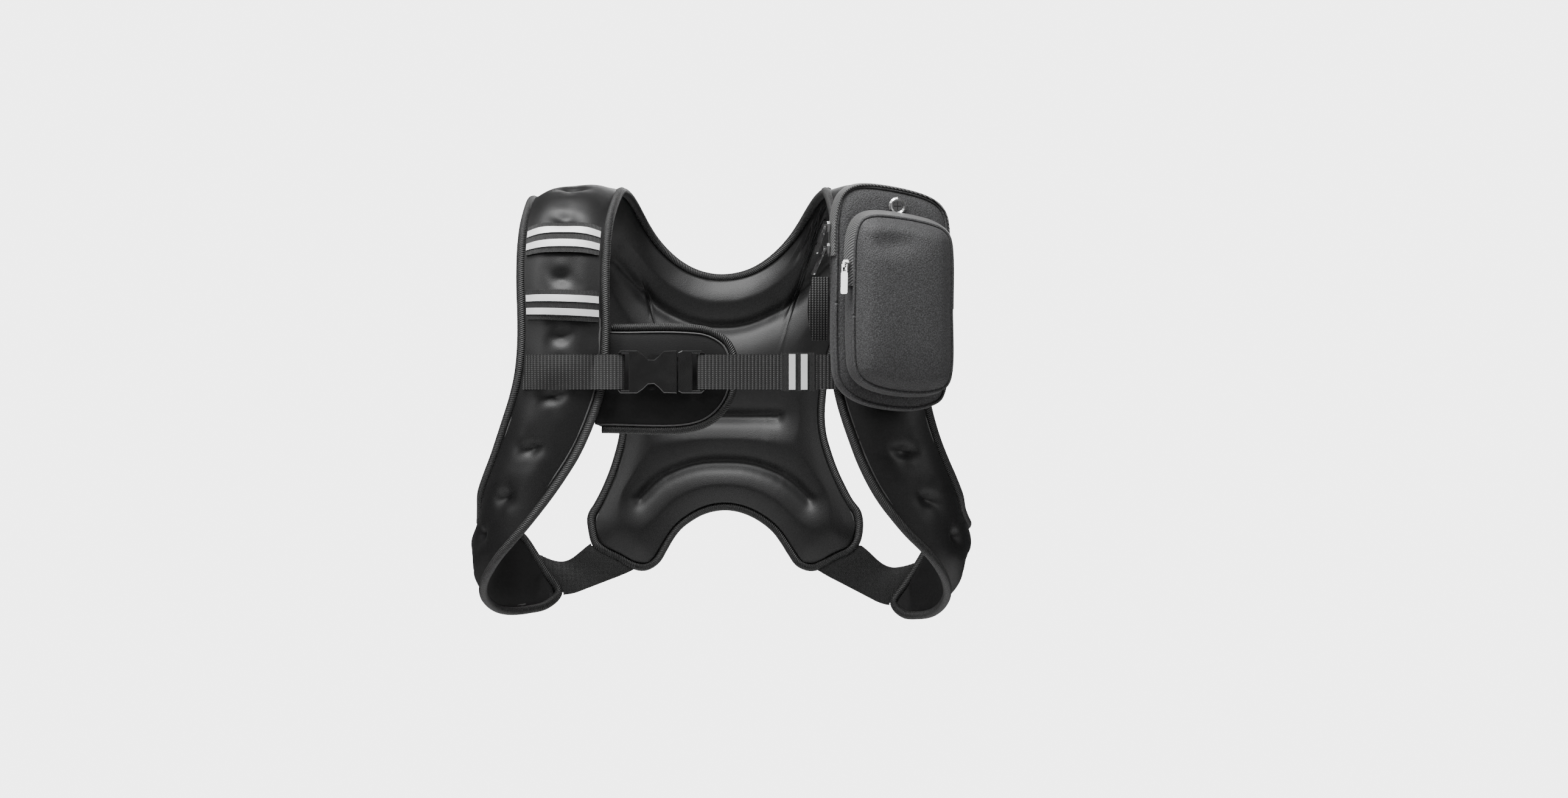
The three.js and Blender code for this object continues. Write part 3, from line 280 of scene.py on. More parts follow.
# %% Webbing
def webbing(name, pitch, rows, source="UV", light=0.11):
    finish = Finish(name, Sheen_Weight=0.03, Sheen_Roughness=0.4)
    place = finish.place(source)
    along, across = (place[0], place[1]) if source == "UV" else (place[0], place[2])
    rib = finish.wave(along, pitch)
    row = finish.wave(across, rows)
    floats = finish.step(1 - rib, 0.72, 0.95) * finish.step(row, 0.35, 0.75)
    fibre = finish.noise(3000, 2)
    finish.color(finish.blend(floats * (fibre * 0.6 + 0.5), grey(0.005), grey(light)))
    finish.rough(fibre * 0.15 + 0.52)
    finish.bump(rib * 0.8 + row * 0.25 + fibre * 0.25, 0.0005, 0.9)
    return finish.material


WEBBING = webbing("webbing", 0.0030, 0.0016, light=0.11)
LOOP_WEBBING = webbing("loop_webbing", 0.0024, 0.0020, "Object", 0.12)
ELASTIC = webbing("elastic", 0.0011, 0.0011, "Object", 0.03)
print(WEBBING.name, LOOP_WEBBING.name, ELASTIC.name)

# %% [markdown]
# ## Reflective tape
# The stripes are silver tape of fine glass beads. They look pale grey in soft light, a little
# brighter than white cloth would at the same angle, with a grain too fine to count.

# %% Reflective tape
def reflective():
    finish = Finish("reflective", Metallic=0.15)
    beads = finish.cells(3200)
    cloud = finish.noise(60, 2)
    finish.color(finish.blend(beads * 0.7 + cloud * 0.3, grey(0.86), grey(0.6)))
    finish.rough(beads * 0.2 + 0.34)
    finish.bump(beads, 0.00012, 0.5)
    return finish.material


REFLECTIVE = reflective()
print(REFLECTIVE.name)

# %% [markdown]
# ## Pouch knit
# The pouch is faced with a heathered knit: dark charcoal with paler fibres worked in at random.
# Small cells give the loops of the knit, and a stretched noise gives the stray pale fibres.

# %% Pouch knit
def knit():
    finish = Finish("pouch_knit", Sheen_Weight=0.07, Sheen_Roughness=0.45)
    loops = finish.cells(1050)
    fleck = finish.noise(1300, 2, stretch=(1, 1, 0.55))
    cloud = finish.noise(30, 2)
    tone = finish.step(fleck, 0.36, 0.66) * 0.75 + cloud * 0.25
    finish.color(finish.blend(tone, grey(0.009), grey(0.048, 0.04)))
    finish.rough(loops * 0.2 + 0.55)
    finish.bump(loops * -1.0 + fleck * 0.5, 0.0004, 0.8)
    return finish.material


KNIT = knit()
print(KNIT.name)

# %% [markdown]
# ## Zip tape
# The closed zips show as a ribbed tape laid round the pouch. The ribs run aslant, about one and a
# half millimetres apart, each with a painted highlight: its crest is painted paler.

# %% Zip tape
def zip_tape():
    finish = Finish("zip_tape", Sheen_Weight=0.08)
    x, y, z = finish.place()
    rib = finish.wave(x * 0.7 + y * 1.1 + z, 0.0026)
    fibre = finish.noise(2400, 2)
    # Painted highlight: each rib's crest is painted paler. The fibre noise adds a real random tone.
    finish.color(finish.blend(rib * 0.8 + fibre * 0.2, grey(0.012), grey(0.15)))
    finish.rough(fibre * 0.15 + 0.42)
    finish.bump(rib + fibre * 0.2, 0.0006, 0.9)
    return finish.material


ZIP_TAPE = zip_tape()
print(ZIP_TAPE.name)

# %% [markdown]
# ## Hard finishes
# The buckle is glossy moulded plastic, the zip parts and the eyelet are bright plated metal, and
# the eyelet's plug is soft grey rubber. Fine scratches and a faint unevenness in the roughness keep
# them from looking like glass.

# %% Plastic, plated metal, rubber
def moulded_plastic():
    finish = Finish("moulded_plastic", Coat_Weight=0.6, Coat_Roughness=0.08)
    flow = finish.noise(90, 3)
    speck = finish.noise(1800, 2)
    finish.color(finish.blend(flow, grey(0.010), grey(0.020)))
    finish.rough(flow * 0.10 + speck * 0.05 + 0.14)
    finish.bump(flow * 0.6 + speck * 0.1, 0.00008, 0.4)
    return finish.material


def plated_metal():
    finish = Finish("plated_metal", Metallic=1.0)
    scratch = finish.noise(600, 3, stretch=(1, 1, 0.15))
    finish.color(finish.blend(scratch, grey(0.42), grey(0.66)))
    finish.rough(scratch * 0.14 + 0.22)
    finish.bump(scratch, 0.00003, 0.3)
    return finish.material


def soft_rubber():
    finish = Finish("soft_rubber")
    dust = finish.noise(700, 3)
    finish.color(finish.blend(dust, grey(0.035), grey(0.06)))
    finish.rough(dust * 0.2 + 0.5)
    finish.bump(dust, 0.00008, 0.5)
    return finish.material


PLASTIC = moulded_plastic()
PLATED = plated_metal()
RUBBER = soft_rubber()
print(PLASTIC.name, PLATED.name, RUBBER.name)

# %% [markdown]
# ## Mesh and thread
# The back pocket is an open net, so its material is cut away between the strands. Thread is a
# twisted cord with a dull shine.

# %% Net and thread
def open_net():
    finish = Finish("open_net")
    x, _, z = finish.place()
    slant = finish.wave(x + z * 0.6, 0.0024)
    counter = finish.wave(x - z * 0.6, 0.0024)
    hole = finish.step(slant * counter, 0.42, 0.55)
    finish.color(finish.blend(finish.noise(1500), grey(0.012), grey(0.03)))
    finish.rough(finish.noise(800) * 0.2 + 0.5)
    finish.put(finish.shader.inputs["Alpha"], 1 - hole * 0.85)
    finish.bump(slant * counter * -1.0, 0.0005, 0.7)
    return finish.material


def thread():
    finish = Finish("thread", Sheen_Weight=0.3)
    twist = finish.noise(2600, 1)
    finish.color(finish.blend(twist, grey(0.02), grey(0.09)))
    finish.rough(twist * 0.2 + 0.45)
    finish.bump(twist, 0.0001, 0.6)
    return finish.material


def floor_finish():
    finish = Finish("floor_finish", Emission_Color=(1, 1, 1, 1), Emission_Strength=0.2)
    cloud = finish.noise(3, 2)
    finish.color(finish.blend(cloud, grey(0.86), grey(0.92)))
    finish.rough(cloud * 0.1 + 0.6)
    return finish.material


NET = open_net()
THREAD = thread()
floor.data.materials.append(floor_finish())
print(NET.name, THREAD.name)


# %% [markdown]
# ## Working on one piece at a time
# Soft pieces start from a copy of the measured solid, whose loose triangles are merged and turned
# back into quads. Its rims are creased, so that subdivision rounds the faces and keeps the edges.

# %% Piece helpers
def only(obj):
    bpy.ops.object.select_all(action="DESELECT")
    obj.select_set(True)
    bpy.context.view_layer.objects.active = obj


def points_of(obj):
    flat = np.empty(len(obj.data.vertices) * 3)
    obj.data.vertices.foreach_get("co", flat)
    return flat.reshape(-1, 3)


def normals_of(obj):
    flat = np.empty(len(obj.data.vertices) * 3)
    obj.data.vertices.foreach_get("normal", flat)
    return flat.reshape(-1, 3)


def set_points(obj, points):
    obj.data.vertices.foreach_set("co", points.ravel())
    obj.data.update()


def copy_of(node, name):
    obj = bpy.data.objects.new(name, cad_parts[node].data.copy())
    obj.data.materials.clear()
    bpy.context.collection.objects.link(obj)
    only(obj)
    bpy.ops.mesh.customdata_custom_splitnormals_clear()
    bpy.ops.object.mode_set(mode="EDIT")
    bpy.ops.mesh.select_all(action="SELECT")
    bpy.ops.mesh.remove_doubles(threshold=0.00002)
    bpy.ops.mesh.normals_make_consistent(inside=False)
    limit = math.radians(50)
    bpy.ops.mesh.tris_convert_to_quads(face_threshold=limit, shape_threshold=math.radians(70))
    bpy.ops.object.mode_set(mode="OBJECT")
    return obj


def crease_rims(obj, degrees, amount=1.0):
    shape = bmesh.new()
    shape.from_mesh(obj.data)
    layer = shape.edges.layers.float.new("crease_edge")
    for edge in shape.edges:
        if edge.calc_face_angle(0) > math.radians(degrees):
            edge[layer] = amount
    shape.to_mesh(obj.data)
    shape.free()


def modify(obj, kind, **settings):
    only(obj)
    modifier = obj.modifiers.new(kind.lower(), kind)
    for key, value in settings.items():
        setattr(modifier, key, value)
    bpy.ops.object.modifier_apply(modifier=modifier.name)


def subdivide(obj, levels):
    modify(obj, "SUBSURF", levels=levels, render_levels=levels)


def settle(obj, material, slot, *nodes, body="vest", angle=180):
    obj.data.materials.clear()
    obj.data.materials.append(material)
    only(obj)
    bpy.ops.object.shade_smooth_by_angle(angle=math.radians(angle))
    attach(obj, body)
    if nodes:
        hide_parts(*nodes)
    print(obj.name, len(obj.data.polygons), "faces")
    return obj


def refine(path, step):
    """The same path on a smooth curve, with points about a step apart."""
    ends = np.vstack([2 * path[0] - path[1], path, 2 * path[-1] - path[-2]])
    points = []
    for i in range(1, len(ends) - 2):
        a, b, c, d = ends[i - 1 : i + 3]
        count = max(1, round(np.linalg.norm(c - b) / step))
        for k in range(count):
            t = k / count
            points.append(0.5 * (2 * b + (c - a) * t + (2 * a - 5 * b + 4 * c - d) * t**2
                                 + (3 * b - a - 3 * c + d) * t**3))
    points.append(path[-1])
    return np.array(points)


def distance_to(points, line):
    best = np.full(len(points), 1.0)
    for a, b in zip(line[:-1], line[1:]):
        run = b - a
        share = np.clip(((points - a) @ run) / (run @ run), 0, 1)
        best = np.minimum(best, np.linalg.norm(points - (a + share[:, None] * run), axis=1))
    return best


# %% [markdown]
# ## Where the seams run
# The seams are read from the frame. A bound edge is a tube there, so its middle is the middle of
# each ring of the tube. The tacks are sewn down the middle of each strap at an even pitch, and the
# channels cross the back along a few chosen points, given as shares of the vest's own size.

# %% Bound edges
TUBE_SIDES = 5


def middle_line(node, start):
    """The middle of a bound edge, from the end that lies furthest along start."""
    shape = bmesh.new()
    shape.from_mesh(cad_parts[node].data)
    bmesh.ops.remove_doubles(shape, verts=shape.verts, dist=0.00001)
    shape.verts.index_update()
    places = np.array([tuple(vertex.co) for vertex in shape.verts])
    beside = [[edge.other_vert(vertex).index for edge in vertex.link_edges] for vertex in shape.verts]
    shape.free()

    def rings_from(first):
        rings, seen = [first], set(first)
        while rings[-1]:
            rings.append(sorted({other for one in rings[-1] for other in beside[one]} - seen))
            seen.update(rings[-1])
        return rings[:-1]

    tip = rings_from([0])[-1][0]
    nearest = np.argsort(np.linalg.norm(places - places[tip], axis=1))
    line = np.array([places[ring].mean(axis=0) for ring in rings_from(list(nearest[:TUBE_SIDES]))])
    return line if line[0] @ start > line[-1] @ start else line[::-1]


LEFTWARD = np.array((1.0, 0, 0))
UPWARD = np.array((0, 0, 1.0))
RIGHT_EDGE = middle_line("right_strap_binding", LEFTWARD)
LEFT_EDGE = middle_line("left_strap_binding", -LEFTWARD)
NECK_EDGE = middle_line("neckline_binding", LEFTWARD)
BACK_EDGE = middle_line("back_binding", LEFTWARD)
FLAP_EDGE = middle_line("flap_binding", UPWARD)
print("edge points", [len(edge) for edge in (RIGHT_EDGE, LEFT_EDGE, NECK_EDGE, BACK_EDGE, FLAP_EDGE)])


# %% Tacks and channels
TACK_FIRST = 0.030
TACK_PITCH = 0.049
TACK_LAST = 0.020
CAST_FROM = 0.06


def even_steps(path, step):
    """Points an even step apart along a path."""
    run = np.concatenate([[0], np.cumsum(np.linalg.norm(np.diff(path, axis=0), axis=1))])
    places = np.arange(0, run[-1], step)
    return np.array([np.interp(places, run, path[:, axis]) for axis in range(3)]).T


def surface_of(node):
    shape = bmesh.new()
    shape.from_mesh(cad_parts[node].data)
    surface = BVHTree.FromBMesh(shape)
    shape.free()
    return surface


def outward(points):
    """Away from the body, for points on the vest."""
    axis = points * np.array((0.55, 0, 1.0))
    axis[:, 2] = np.minimum(points[:, 2], -0.08)
    away = points - axis
    return away / np.linalg.norm(away, axis=1)[:, None]


def corners_of(path, reach=5, apart=13):
    """The two sharpest turns of a path, which are the corners of a strap's end."""
    ahead = path[2 * reach :] - path[reach:-reach]
    behind = path[reach:-reach] - path[: -2 * reach]
    turn = 1 - (ahead * behind).sum(axis=1) / (
        np.linalg.norm(ahead, axis=1) * np.linalg.norm(behind, axis=1))
    first = int(np.argmax(turn))
    turn[max(first - apart, 0) : first + apart] = 0
    return sorted((first + reach, int(np.argmax(turn)) + reach))


def tacks_on(node, edge):
    """Each tack's place on the strap's face and the direction out of it."""
    path = even_steps(refine(edge, 0.002), 0.002)
    first, second = corners_of(path)
    arm, other = path[:first], path[second:]
    across = np.array([other[np.argmin(np.linalg.norm(other - point, axis=1))] for point in arm]) - arm
    middle = arm + across / 2
    run = np.concatenate([[0], np.cumsum(np.linalg.norm(np.diff(middle, axis=0), axis=1))])
    surface = surface_of(node)
    found = []
    for at in np.arange(TACK_FIRST, run[-1] - TACK_LAST, TACK_PITCH):
        number = int(np.argmin(np.abs(run - at)))
        ahead = middle[min(number + 4, len(middle) - 1)] - middle[max(number - 4, 0)]
        normal = np.cross(ahead, across[number])
        normal *= np.sign(normal @ outward(middle[number : number + 1])[0]) / np.linalg.norm(normal)
        start = Vector(middle[number] + normal * CAST_FROM)
        place = surface.ray_cast(start, Vector(-normal))[0]
        found.append(np.concatenate([place, normal]))
    return np.array(found)


RIGHT_TACKS = tacks_on("right_strap", RIGHT_EDGE)
LEFT_TACKS = tacks_on("left_strap", LEFT_EDGE)

(LOW_X, _, _), (HIGH_X, _, VEST_TOP) = cad_box
VEST_LOW = cad_box[0][2]
HALF_WIDTH = (HIGH_X - LOW_X) / 2
VEST_HEIGHT = VEST_TOP - VEST_LOW
WAIST_LEAN = 0.004
LEAN_FROM = 0.145

# Shares of the half width and of the height, from one end of each channel to its middle
NECK_CHANNEL = [(0.436, 0.171), (0.352, 0.228), (0.243, 0.284), (0.101, 0.319), (0, 0.325)]
MIDDLE_CHANNEL = [(0.223, 0.532), (0, 0.532)]
ARCH_CHANNEL = [(0.345, 0.724), (0.253, 0.675), (0.122, 0.645), (0, 0.639)]


def channel_on_back(half, step=0.009):
    """A mirrored channel, laid on the inner face of the back."""
    whole = half + [(-across, down) for across, down in half[-2::-1]]
    places = [(across * HALF_WIDTH, 0, VEST_TOP - down * VEST_HEIGHT) for across, down in whole]
    path = refine(np.array(places), step)
    down = (VEST_TOP - path[:, 2]) / VEST_HEIGHT
    path[:, 0] -= WAIST_LEAN * np.sin(math.pi * (down + LEAN_FROM))
    surface = surface_of("back_panel")
    for point in path:
        point[1] = surface.ray_cast(Vector(point), Vector((0, 1, 0)))[0].y
    return path


CHANNELS = [channel_on_back(half) for half in (NECK_CHANNEL, MIDDLE_CHANNEL, ARCH_CHANNEL)]
print("tacks", len(RIGHT_TACKS), len(LEFT_TACKS), "channel points", [len(c) for c in CHANNELS])

# %% [markdown]
# ## Padding
# A pad is filled cloth, so its form comes from its filling. Air pressure in a cloth simulation
# gives that form: the bound edges and the sewn channels are held, the cloth between them swells,
# and small wrinkles gather where it is held. Displacing the faces by a pattern would be quicker,
# but the wrinkles would not follow the seams. How far a point may move is capped, and the dents of
# the tacks are pressed in afterwards, because a needle pulls deeper than the cloth swells.

# %% Padding helpers
SWELL_FRAMES = 20


def puff(obj, held, cap, pressure=4.0, stiffness=12):
    start = points_of(obj)
    group = obj.vertex_groups.new(name="held")
    group.add([int(i) for i in np.flatnonzero(held)], 1.0, "REPLACE")
    only(obj)
    cloth = obj.modifiers.new("cloth", "CLOTH")
    cloth.settings.vertex_group_mass = "held"
    cloth.settings.use_pressure = True
    cloth.settings.uniform_pressure_force = pressure
    cloth.settings.tension_stiffness = stiffness
    cloth.settings.compression_stiffness = stiffness
    cloth.settings.bending_stiffness = 1.5
    cloth.settings.effector_weights.gravity = 0
    cloth.collision_settings.use_collision = False
    cloth.point_cache.frame_start = 1
    cloth.point_cache.frame_end = SWELL_FRAMES
    for number in range(1, SWELL_FRAMES + 1):
        bpy.context.scene.frame_set(number)
    bpy.ops.object.modifier_apply(modifier="cloth")
    bpy.context.scene.frame_set(1)
    obj.vertex_groups.clear()
    moved = points_of(obj) - start
    length = np.linalg.norm(moved, axis=1)
    moved *= (cap * np.tanh(length / cap) / np.maximum(length, 1e-9))[:, None]
    set_points(obj, start + moved)
    print(obj.name, "swelled by up to", round(float(length.max()), 4))


def reach_edge(obj, path, bead=0.0028, fade=0.032):
    """Draws a pad's rim out until it ends inside the bead that binds it."""
    points = points_of(obj)
    tree = KDTree(len(points))
    for number, point in enumerate(points):
        tree.insert(point, number)
    tree.balance()
    rim = np.array([tree.find(point)[2] for point in path])
    kernel = np.ones(5) / 5
    even = np.convolve(np.concatenate([rim[:1]] * 2 + [rim] + [rim[-1:]] * 2), kernel, "valid")
    rim = np.maximum(rim, even)
    beads = KDTree(len(path))
    for number, point in enumerate(path):
        beads.insert(point, number)
    beads.balance()
    found = [beads.find(point) for point in points]
    near = np.array([tuple(place) for place, _, _ in found])
    away = np.array([gap for _, _, gap in found])
    least = rim[[number for _, number, _ in found]]
    share = np.clip(1 - (away - least) / fade, 0, 1) ** 1.5
    pull = np.clip(least - bead, 0, 0.03) * share
    points += (near - points) / np.maximum(away, 1e-6)[:, None] * np.minimum(pull, away)[:, None]
    set_points(obj, points)


def reach_corners(obj, path, bead=0.0028, spread=0.014):
    """Draws the pad into the turns of its bead, where the nearest bead lies to one side."""
    points = points_of(obj)
    for place in path:
        away = place - points
        gap = np.linalg.norm(away, axis=1)
        least = gap.min()
        if least > bead:
            share = np.clip(1 - (gap - least) / spread, 0, 1) ** 2
            points += away * ((least - bead) * share / gap)[:, None]
    set_points(obj, points)


def relax(obj, free, rounds):
    group = obj.vertex_groups.new(name="free")
    group.add([int(i) for i in np.flatnonzero(free)], 1.0, "REPLACE")
    modify(obj, "SMOOTH", factor=0.5, iterations=rounds, vertex_group="free")
    obj.vertex_groups.clear()


TACK_DENT = 0.0050
TACK_OVAL = (0.0085, 0.0056)
FOLD_HEIGHT = 0.00035
FOLD_RING = 0.012
FOLD_WIDTH = 0.006
FOLD_COUNT = 4
FACE_REACH = 0.02


def press_tacks(obj, tacks):
    """Each tack pulls an oval dent, with a few shallow folds running out of it."""
    points = points_of(obj)
    for number, tack in enumerate(tacks):
        place, normal = tack[:3], tack[3:]
        away = points - place
        height = away @ normal
        flat = away - height[:, None] * normal
        reach = np.linalg.norm(flat, axis=1)
        side = np.cross(normal, (0, 0, 1.0))
        side /= np.linalg.norm(side)
        down = np.cross(normal, side)
        turn = np.arctan2(flat @ down, flat @ side)
        front = np.clip((height + 0.012) / 0.006, 0, 1) * (np.abs(height) < FACE_REACH)
        oval = (flat @ side / TACK_OVAL[0]) ** 2 + (flat @ down / TACK_OVAL[1]) ** 2
        dent = TACK_DENT * np.exp(-oval)
        folds = np.cos(FOLD_COUNT * turn + 1.3 * number)
        folds *= FOLD_HEIGHT * np.exp(-(((reach - FOLD_RING) / FOLD_WIDTH) ** 2))
        points -= (front * (dent + folds))[:, None] * normal
    set_points(obj, points)


def sharp_points(obj, degrees=38):
    """The points on a pad's rims, where its faces meet its side walls."""
    shape = bmesh.new()
    shape.from_mesh(obj.data)
    held = np.zeros(len(shape.verts), bool)
    for edge in shape.edges:
        if edge.calc_face_angle(0) > math.radians(degrees):
            held[[vertex.index for vertex in edge.verts]] = True
    shape.free()
    return held


# %% [markdown]
# ## The shoulder straps
# Each strap is one long pad over the shoulder, down the chest and round the side, filled with
# weights and sewn through at even steps. Its copy is subdivided, its faces are relaxed to lose the
# facets of the solid, and then it is swelled. Its rim is drawn out into the tape that binds it, so
# that no light shows between the two, and last the tacks are pressed in.

# %% Straps
RIM_REACH = 0.0075


def strap_pad(node, name, edge, tacks):
    pad = copy_of(node, name)
    crease_rims(pad, 55)
    subdivide(pad, 2)
    rim = sharp_points(pad) | (distance_to(points_of(pad), edge) < RIM_REACH)
    relax(pad, ~rim, 22)
    puff(pad, rim, 0.004)
    for _ in range(2):
        reach_edge(pad, refine(edge, 0.003))
    for spread in (0.022, 0.012, 0.008):
        reach_corners(pad, refine(edge, 0.003), 0.0005, spread)
    press_tacks(pad, tacks)
    subdivide(pad, 1)
    reach_corners(pad, refine(edge, 0.003), 0.0018, 0.006)
    settle(pad, NEOPRENE, "neoprene", node)
    return pad


right_pad = strap_pad("right_strap", "right_strap_pad", RIGHT_EDGE, RIGHT_TACKS)
left_pad = strap_pad("left_strap", "left_strap_pad", LEFT_EDGE, LEFT_TACKS)

# %% [markdown]
# ## The back panel
# The back is one butterfly-shaped pad. Three sewn channels cross its inner face and divide it into
# full ridges, which catch the light along their tops.

# %% Back panel
FILL = 0.006
FILL_REACH = 0.017
CHANNEL_DEPTH = 0.0055
CHANNEL_WIDTH = 0.0055
CHANNEL_HOLD = 0.0045


def sew_channels(obj, lines):
    """Sinks the inner face along each channel, and fills the ridges between channels and rims."""
    points = points_of(obj)
    inner = np.clip(0.1 - normals_of(obj)[:, 1], 0, 0.3) / 0.3
    sewn = np.min([distance_to(points, line) for line in lines], axis=0)
    bound = np.min([distance_to(points, line) for line in (NECK_EDGE, BACK_EDGE)], axis=0)
    sunk = CHANNEL_DEPTH * np.exp(-((sewn / CHANNEL_WIDTH) ** 2))
    full = FILL * (1 - np.exp(-((np.minimum(sewn, bound) / FILL_REACH) ** 2)))
    points[:, 1] += inner * (sunk - full)
    set_points(obj, points)


back_pad = copy_of("back_panel", "back_pad")
crease_rims(back_pad, 55)
subdivide(back_pad, 2)
back_rims = [NECK_EDGE, BACK_EDGE]
rim = np.min([distance_to(points_of(back_pad), line) for line in back_rims], axis=0) < RIM_REACH
rim |= sharp_points(back_pad)
relax(back_pad, ~rim, 45)
on_channel = np.min([distance_to(points_of(back_pad), line) for line in CHANNELS], axis=0) < CHANNEL_HOLD
puff(back_pad, rim | on_channel, 0.010)
for line in back_rims:
    reach_edge(back_pad, refine(line, 0.003))
    reach_corners(back_pad, refine(line, 0.004))
subdivide(back_pad, 1)
sew_channels(back_pad, CHANNELS)
settle(back_pad, NEOPRENE, "neoprene", "back_panel")

# %% [markdown]
# ## The pad behind the buckle
# A thin pad keeps the buckle off the chest. Its edge is bound, and its rim is drawn out into that tape.

# %% Buckle flap
flap_pad = copy_of("buckle_flap", "flap_pad")
crease_rims(flap_pad, 55)
subdivide(flap_pad, 3)
for _ in range(2):
    reach_edge(flap_pad, refine(FLAP_EDGE, 0.003), 0.0022, 0.012)
settle(flap_pad, NEOPRENE, "neoprene", "buckle_flap")

# %% [markdown]
# ## Bound edges
# Tape is folded over each raw edge and sewn down. It is swept along the edge as a round bead with
# its own UV map, so that the ribs cross it at every turn, and a thin seam cord lies beside it.

# %% Swept beads and bands
def sweep(name, path, section, lift=None):
    """A closed solid swept along a path. The section holds offsets across the path and away from it,
    and the UV map holds metres round the section and metres along the path."""
    ahead = np.gradient(path, axis=0)
    ahead /= np.linalg.norm(ahead, axis=1)[:, None]
    away = np.empty_like(path)
    guess = np.array(lift if lift is not None else (0.3, -0.9, 0.3))
    for i, direction in enumerate(ahead):
        guess = guess - (guess @ direction) * direction
        guess /= np.linalg.norm(guess)
        away[i] = guess
    across = np.cross(ahead, away)
    sides = len(section)
    rings = [p + a * s[0] + w * s[1] for p, a, w in zip(path, across, away) for s in section]
    ends = [path[0], path[-1]]
    faces = []
    for r in range(len(path) - 1):
        for s in range(sides):
            t = (s + 1) % sides
            faces.append((r * sides + s, r * sides + t, (r + 1) * sides + t, (r + 1) * sides + s))
    first, last = len(rings), len(rings) + 1
    base = (len(path) - 1) * sides
    for s in range(sides):
        t = (s + 1) % sides
        faces.append((first, t, s))
        faces.append((last, base + s, base + t))
    mesh = bpy.data.meshes.new(name)
    mesh.from_pydata([tuple(p) for p in rings + ends], [], faces)
    obj = bpy.data.objects.new(name, mesh)
    bpy.context.collection.objects.link(obj)
    section = np.array(section)
    around = np.concatenate([[0], np.cumsum(np.linalg.norm(np.diff(
        np.vstack([section, section[:1]]), axis=0), axis=1))])
    along = np.concatenate([[0], np.cumsum(np.linalg.norm(np.diff(path, axis=0), axis=1))])
    uv = mesh.uv_layers.new(name="UVMap").data
    for polygon in mesh.polygons:
        for place, loop in enumerate(polygon.loop_indices):
            vertex = mesh.loops[loop].vertex_index
            ring, side = divmod(vertex, sides)
            if vertex >= first:
                uv[loop].uv = (0, along[0 if vertex == first else -1])
                continue
            closing = len(polygon.vertices) == 4 and side == 0 and place in (1, 2)
            uv[loop].uv = (around[-1] if closing else around[side], along[ring])
    only(obj)
    bpy.ops.object.mode_set(mode="EDIT")
    bpy.ops.mesh.select_all(action="SELECT")
    bpy.ops.mesh.normals_make_consistent(inside=False)
    bpy.ops.object.mode_set(mode="OBJECT")
    return obj


def circle(radius, sides):
    turns = [2 * math.pi * i / sides for i in range(sides)]
    return [(radius * math.cos(t), radius * math.sin(t)) for t in turns]


def seam_cord(name, path, pad, radius=0.0008, reach=0.0047, rise=0.0024):
    """A thin cord in the valley between a bound edge and its pad."""
    tree = KDTree(len(pad.data.vertices))
    for vertex in pad.data.vertices:
        tree.insert(vertex.co, vertex.index)
    tree.balance()
    inward = []
    for point in path:
        near = tree.find_n(point, 12)
        inward.append(np.mean([np.array(co) for co, _, _ in near], axis=0) - point)
    inward = np.array(inward)
    kernel = np.ones(9) / 9
    padded = np.vstack([inward[:1]] * 4 + [inward] + [inward[-1:]] * 4)
    inward = np.array([np.convolve(padded[:, k], kernel, "valid") for k in range(3)]).T
    inward /= np.linalg.norm(inward, axis=1)[:, None]
    away = outward(path)
    away -= (away * inward).sum(axis=1)[:, None] * inward
    away /= np.linalg.norm(away, axis=1)[:, None]
    return sweep(name, path + inward * reach + away * rise, circle(radius, 6))


BEAD = 0.0037
for name, edge, pad, node in (
    ("right_strap_tape", RIGHT_EDGE, right_pad, "right_strap_binding"),
    ("left_strap_tape", LEFT_EDGE, left_pad, "left_strap_binding"),
    ("neckline_tape", NECK_EDGE, back_pad, "neckline_binding"),
    ("back_tape_edge", BACK_EDGE, back_pad, "back_binding"),
):
    path = refine(edge, 0.0025)
    settle(sweep(name, path, circle(BEAD, 16)), EDGE_TAPE, "binding", node)
    away = -0.0024 if pad is back_pad else 0.0024
    settle(seam_cord(name + "_cord", path, pad, rise=away), THREAD, "binding")

flap_path = refine(FLAP_EDGE, 0.002)
settle(sweep("flap_tape", flap_path, circle(0.0031, 16)), EDGE_TAPE, "binding", "flap_binding")
settle(seam_cord("flap_tape_cord", flap_path, flap_pad, 0.0007, 0.0042, 0.002), THREAD, "binding")

# %% [markdown]
# ## Bands, stripes and webbing
# The bands are flat woven elastic and the chest strap is stiff webbing. They are thin solids already,
# so they only need their facets rounded. The side bands are drawn into the bound edges that they
# are sewn under. The webbing gets a UV map in metres along its own length.

# %% Bands and stripes
def soft_band(node, name, material, slot, levels=2, crease=50):
    band = copy_of(node, name)
    crease_rims(band, crease)
    subdivide(band, levels)
    return settle(band, material, slot, node, angle=50)


for level in ("upper", "lower"):
    band = soft_band(level + "_band", level + "_band_elastic", ELASTIC, "elastic")
    for end in ("a", "b"):
        node = level + "_band_stripe_" + end
        soft_band(node, node + "_tape", REFLECTIVE, "reflective")

for side in ("right", "left"):
    band = soft_band(side + "_side_band", side + "_side_elastic", ELASTIC, "elastic", 3)
    edge = RIGHT_EDGE if side == "right" else LEFT_EDGE
    for line in (edge, BACK_EDGE):
        reach_edge(band, refine(line[len(line) // 4 : -len(line) // 4], 0.003), 0.002, 0.012)
    soft_band("back_stripe_" + side, "back_stripe_" + side + "_tape", REFLECTIVE, "reflective")
    soft_band("shoulder_stripe_" + side, "shoulder_" + side + "_tape", REFLECTIVE, "reflective")

back_band = soft_band("back_band", "back_band_elastic", ELASTIC, "elastic")
centre_tape = soft_band("back_tape", "back_centre_tape", ELASTIC, "elastic")
net = soft_band("mesh_pocket", "back_net_pocket", NET, "net")
soft_band("pouch_loop", "pouch_loop_webbing", LOOP_WEBBING, "webbing", 3)
soft_band("webbing_keeper", "keeper_sleeve", ELASTIC, "elastic", 1)
for end in ("a", "b"):
    soft_band("keeper_stripe_" + end, "keeper_stripe_" + end + "_tape", REFLECTIVE, "reflective", 1)


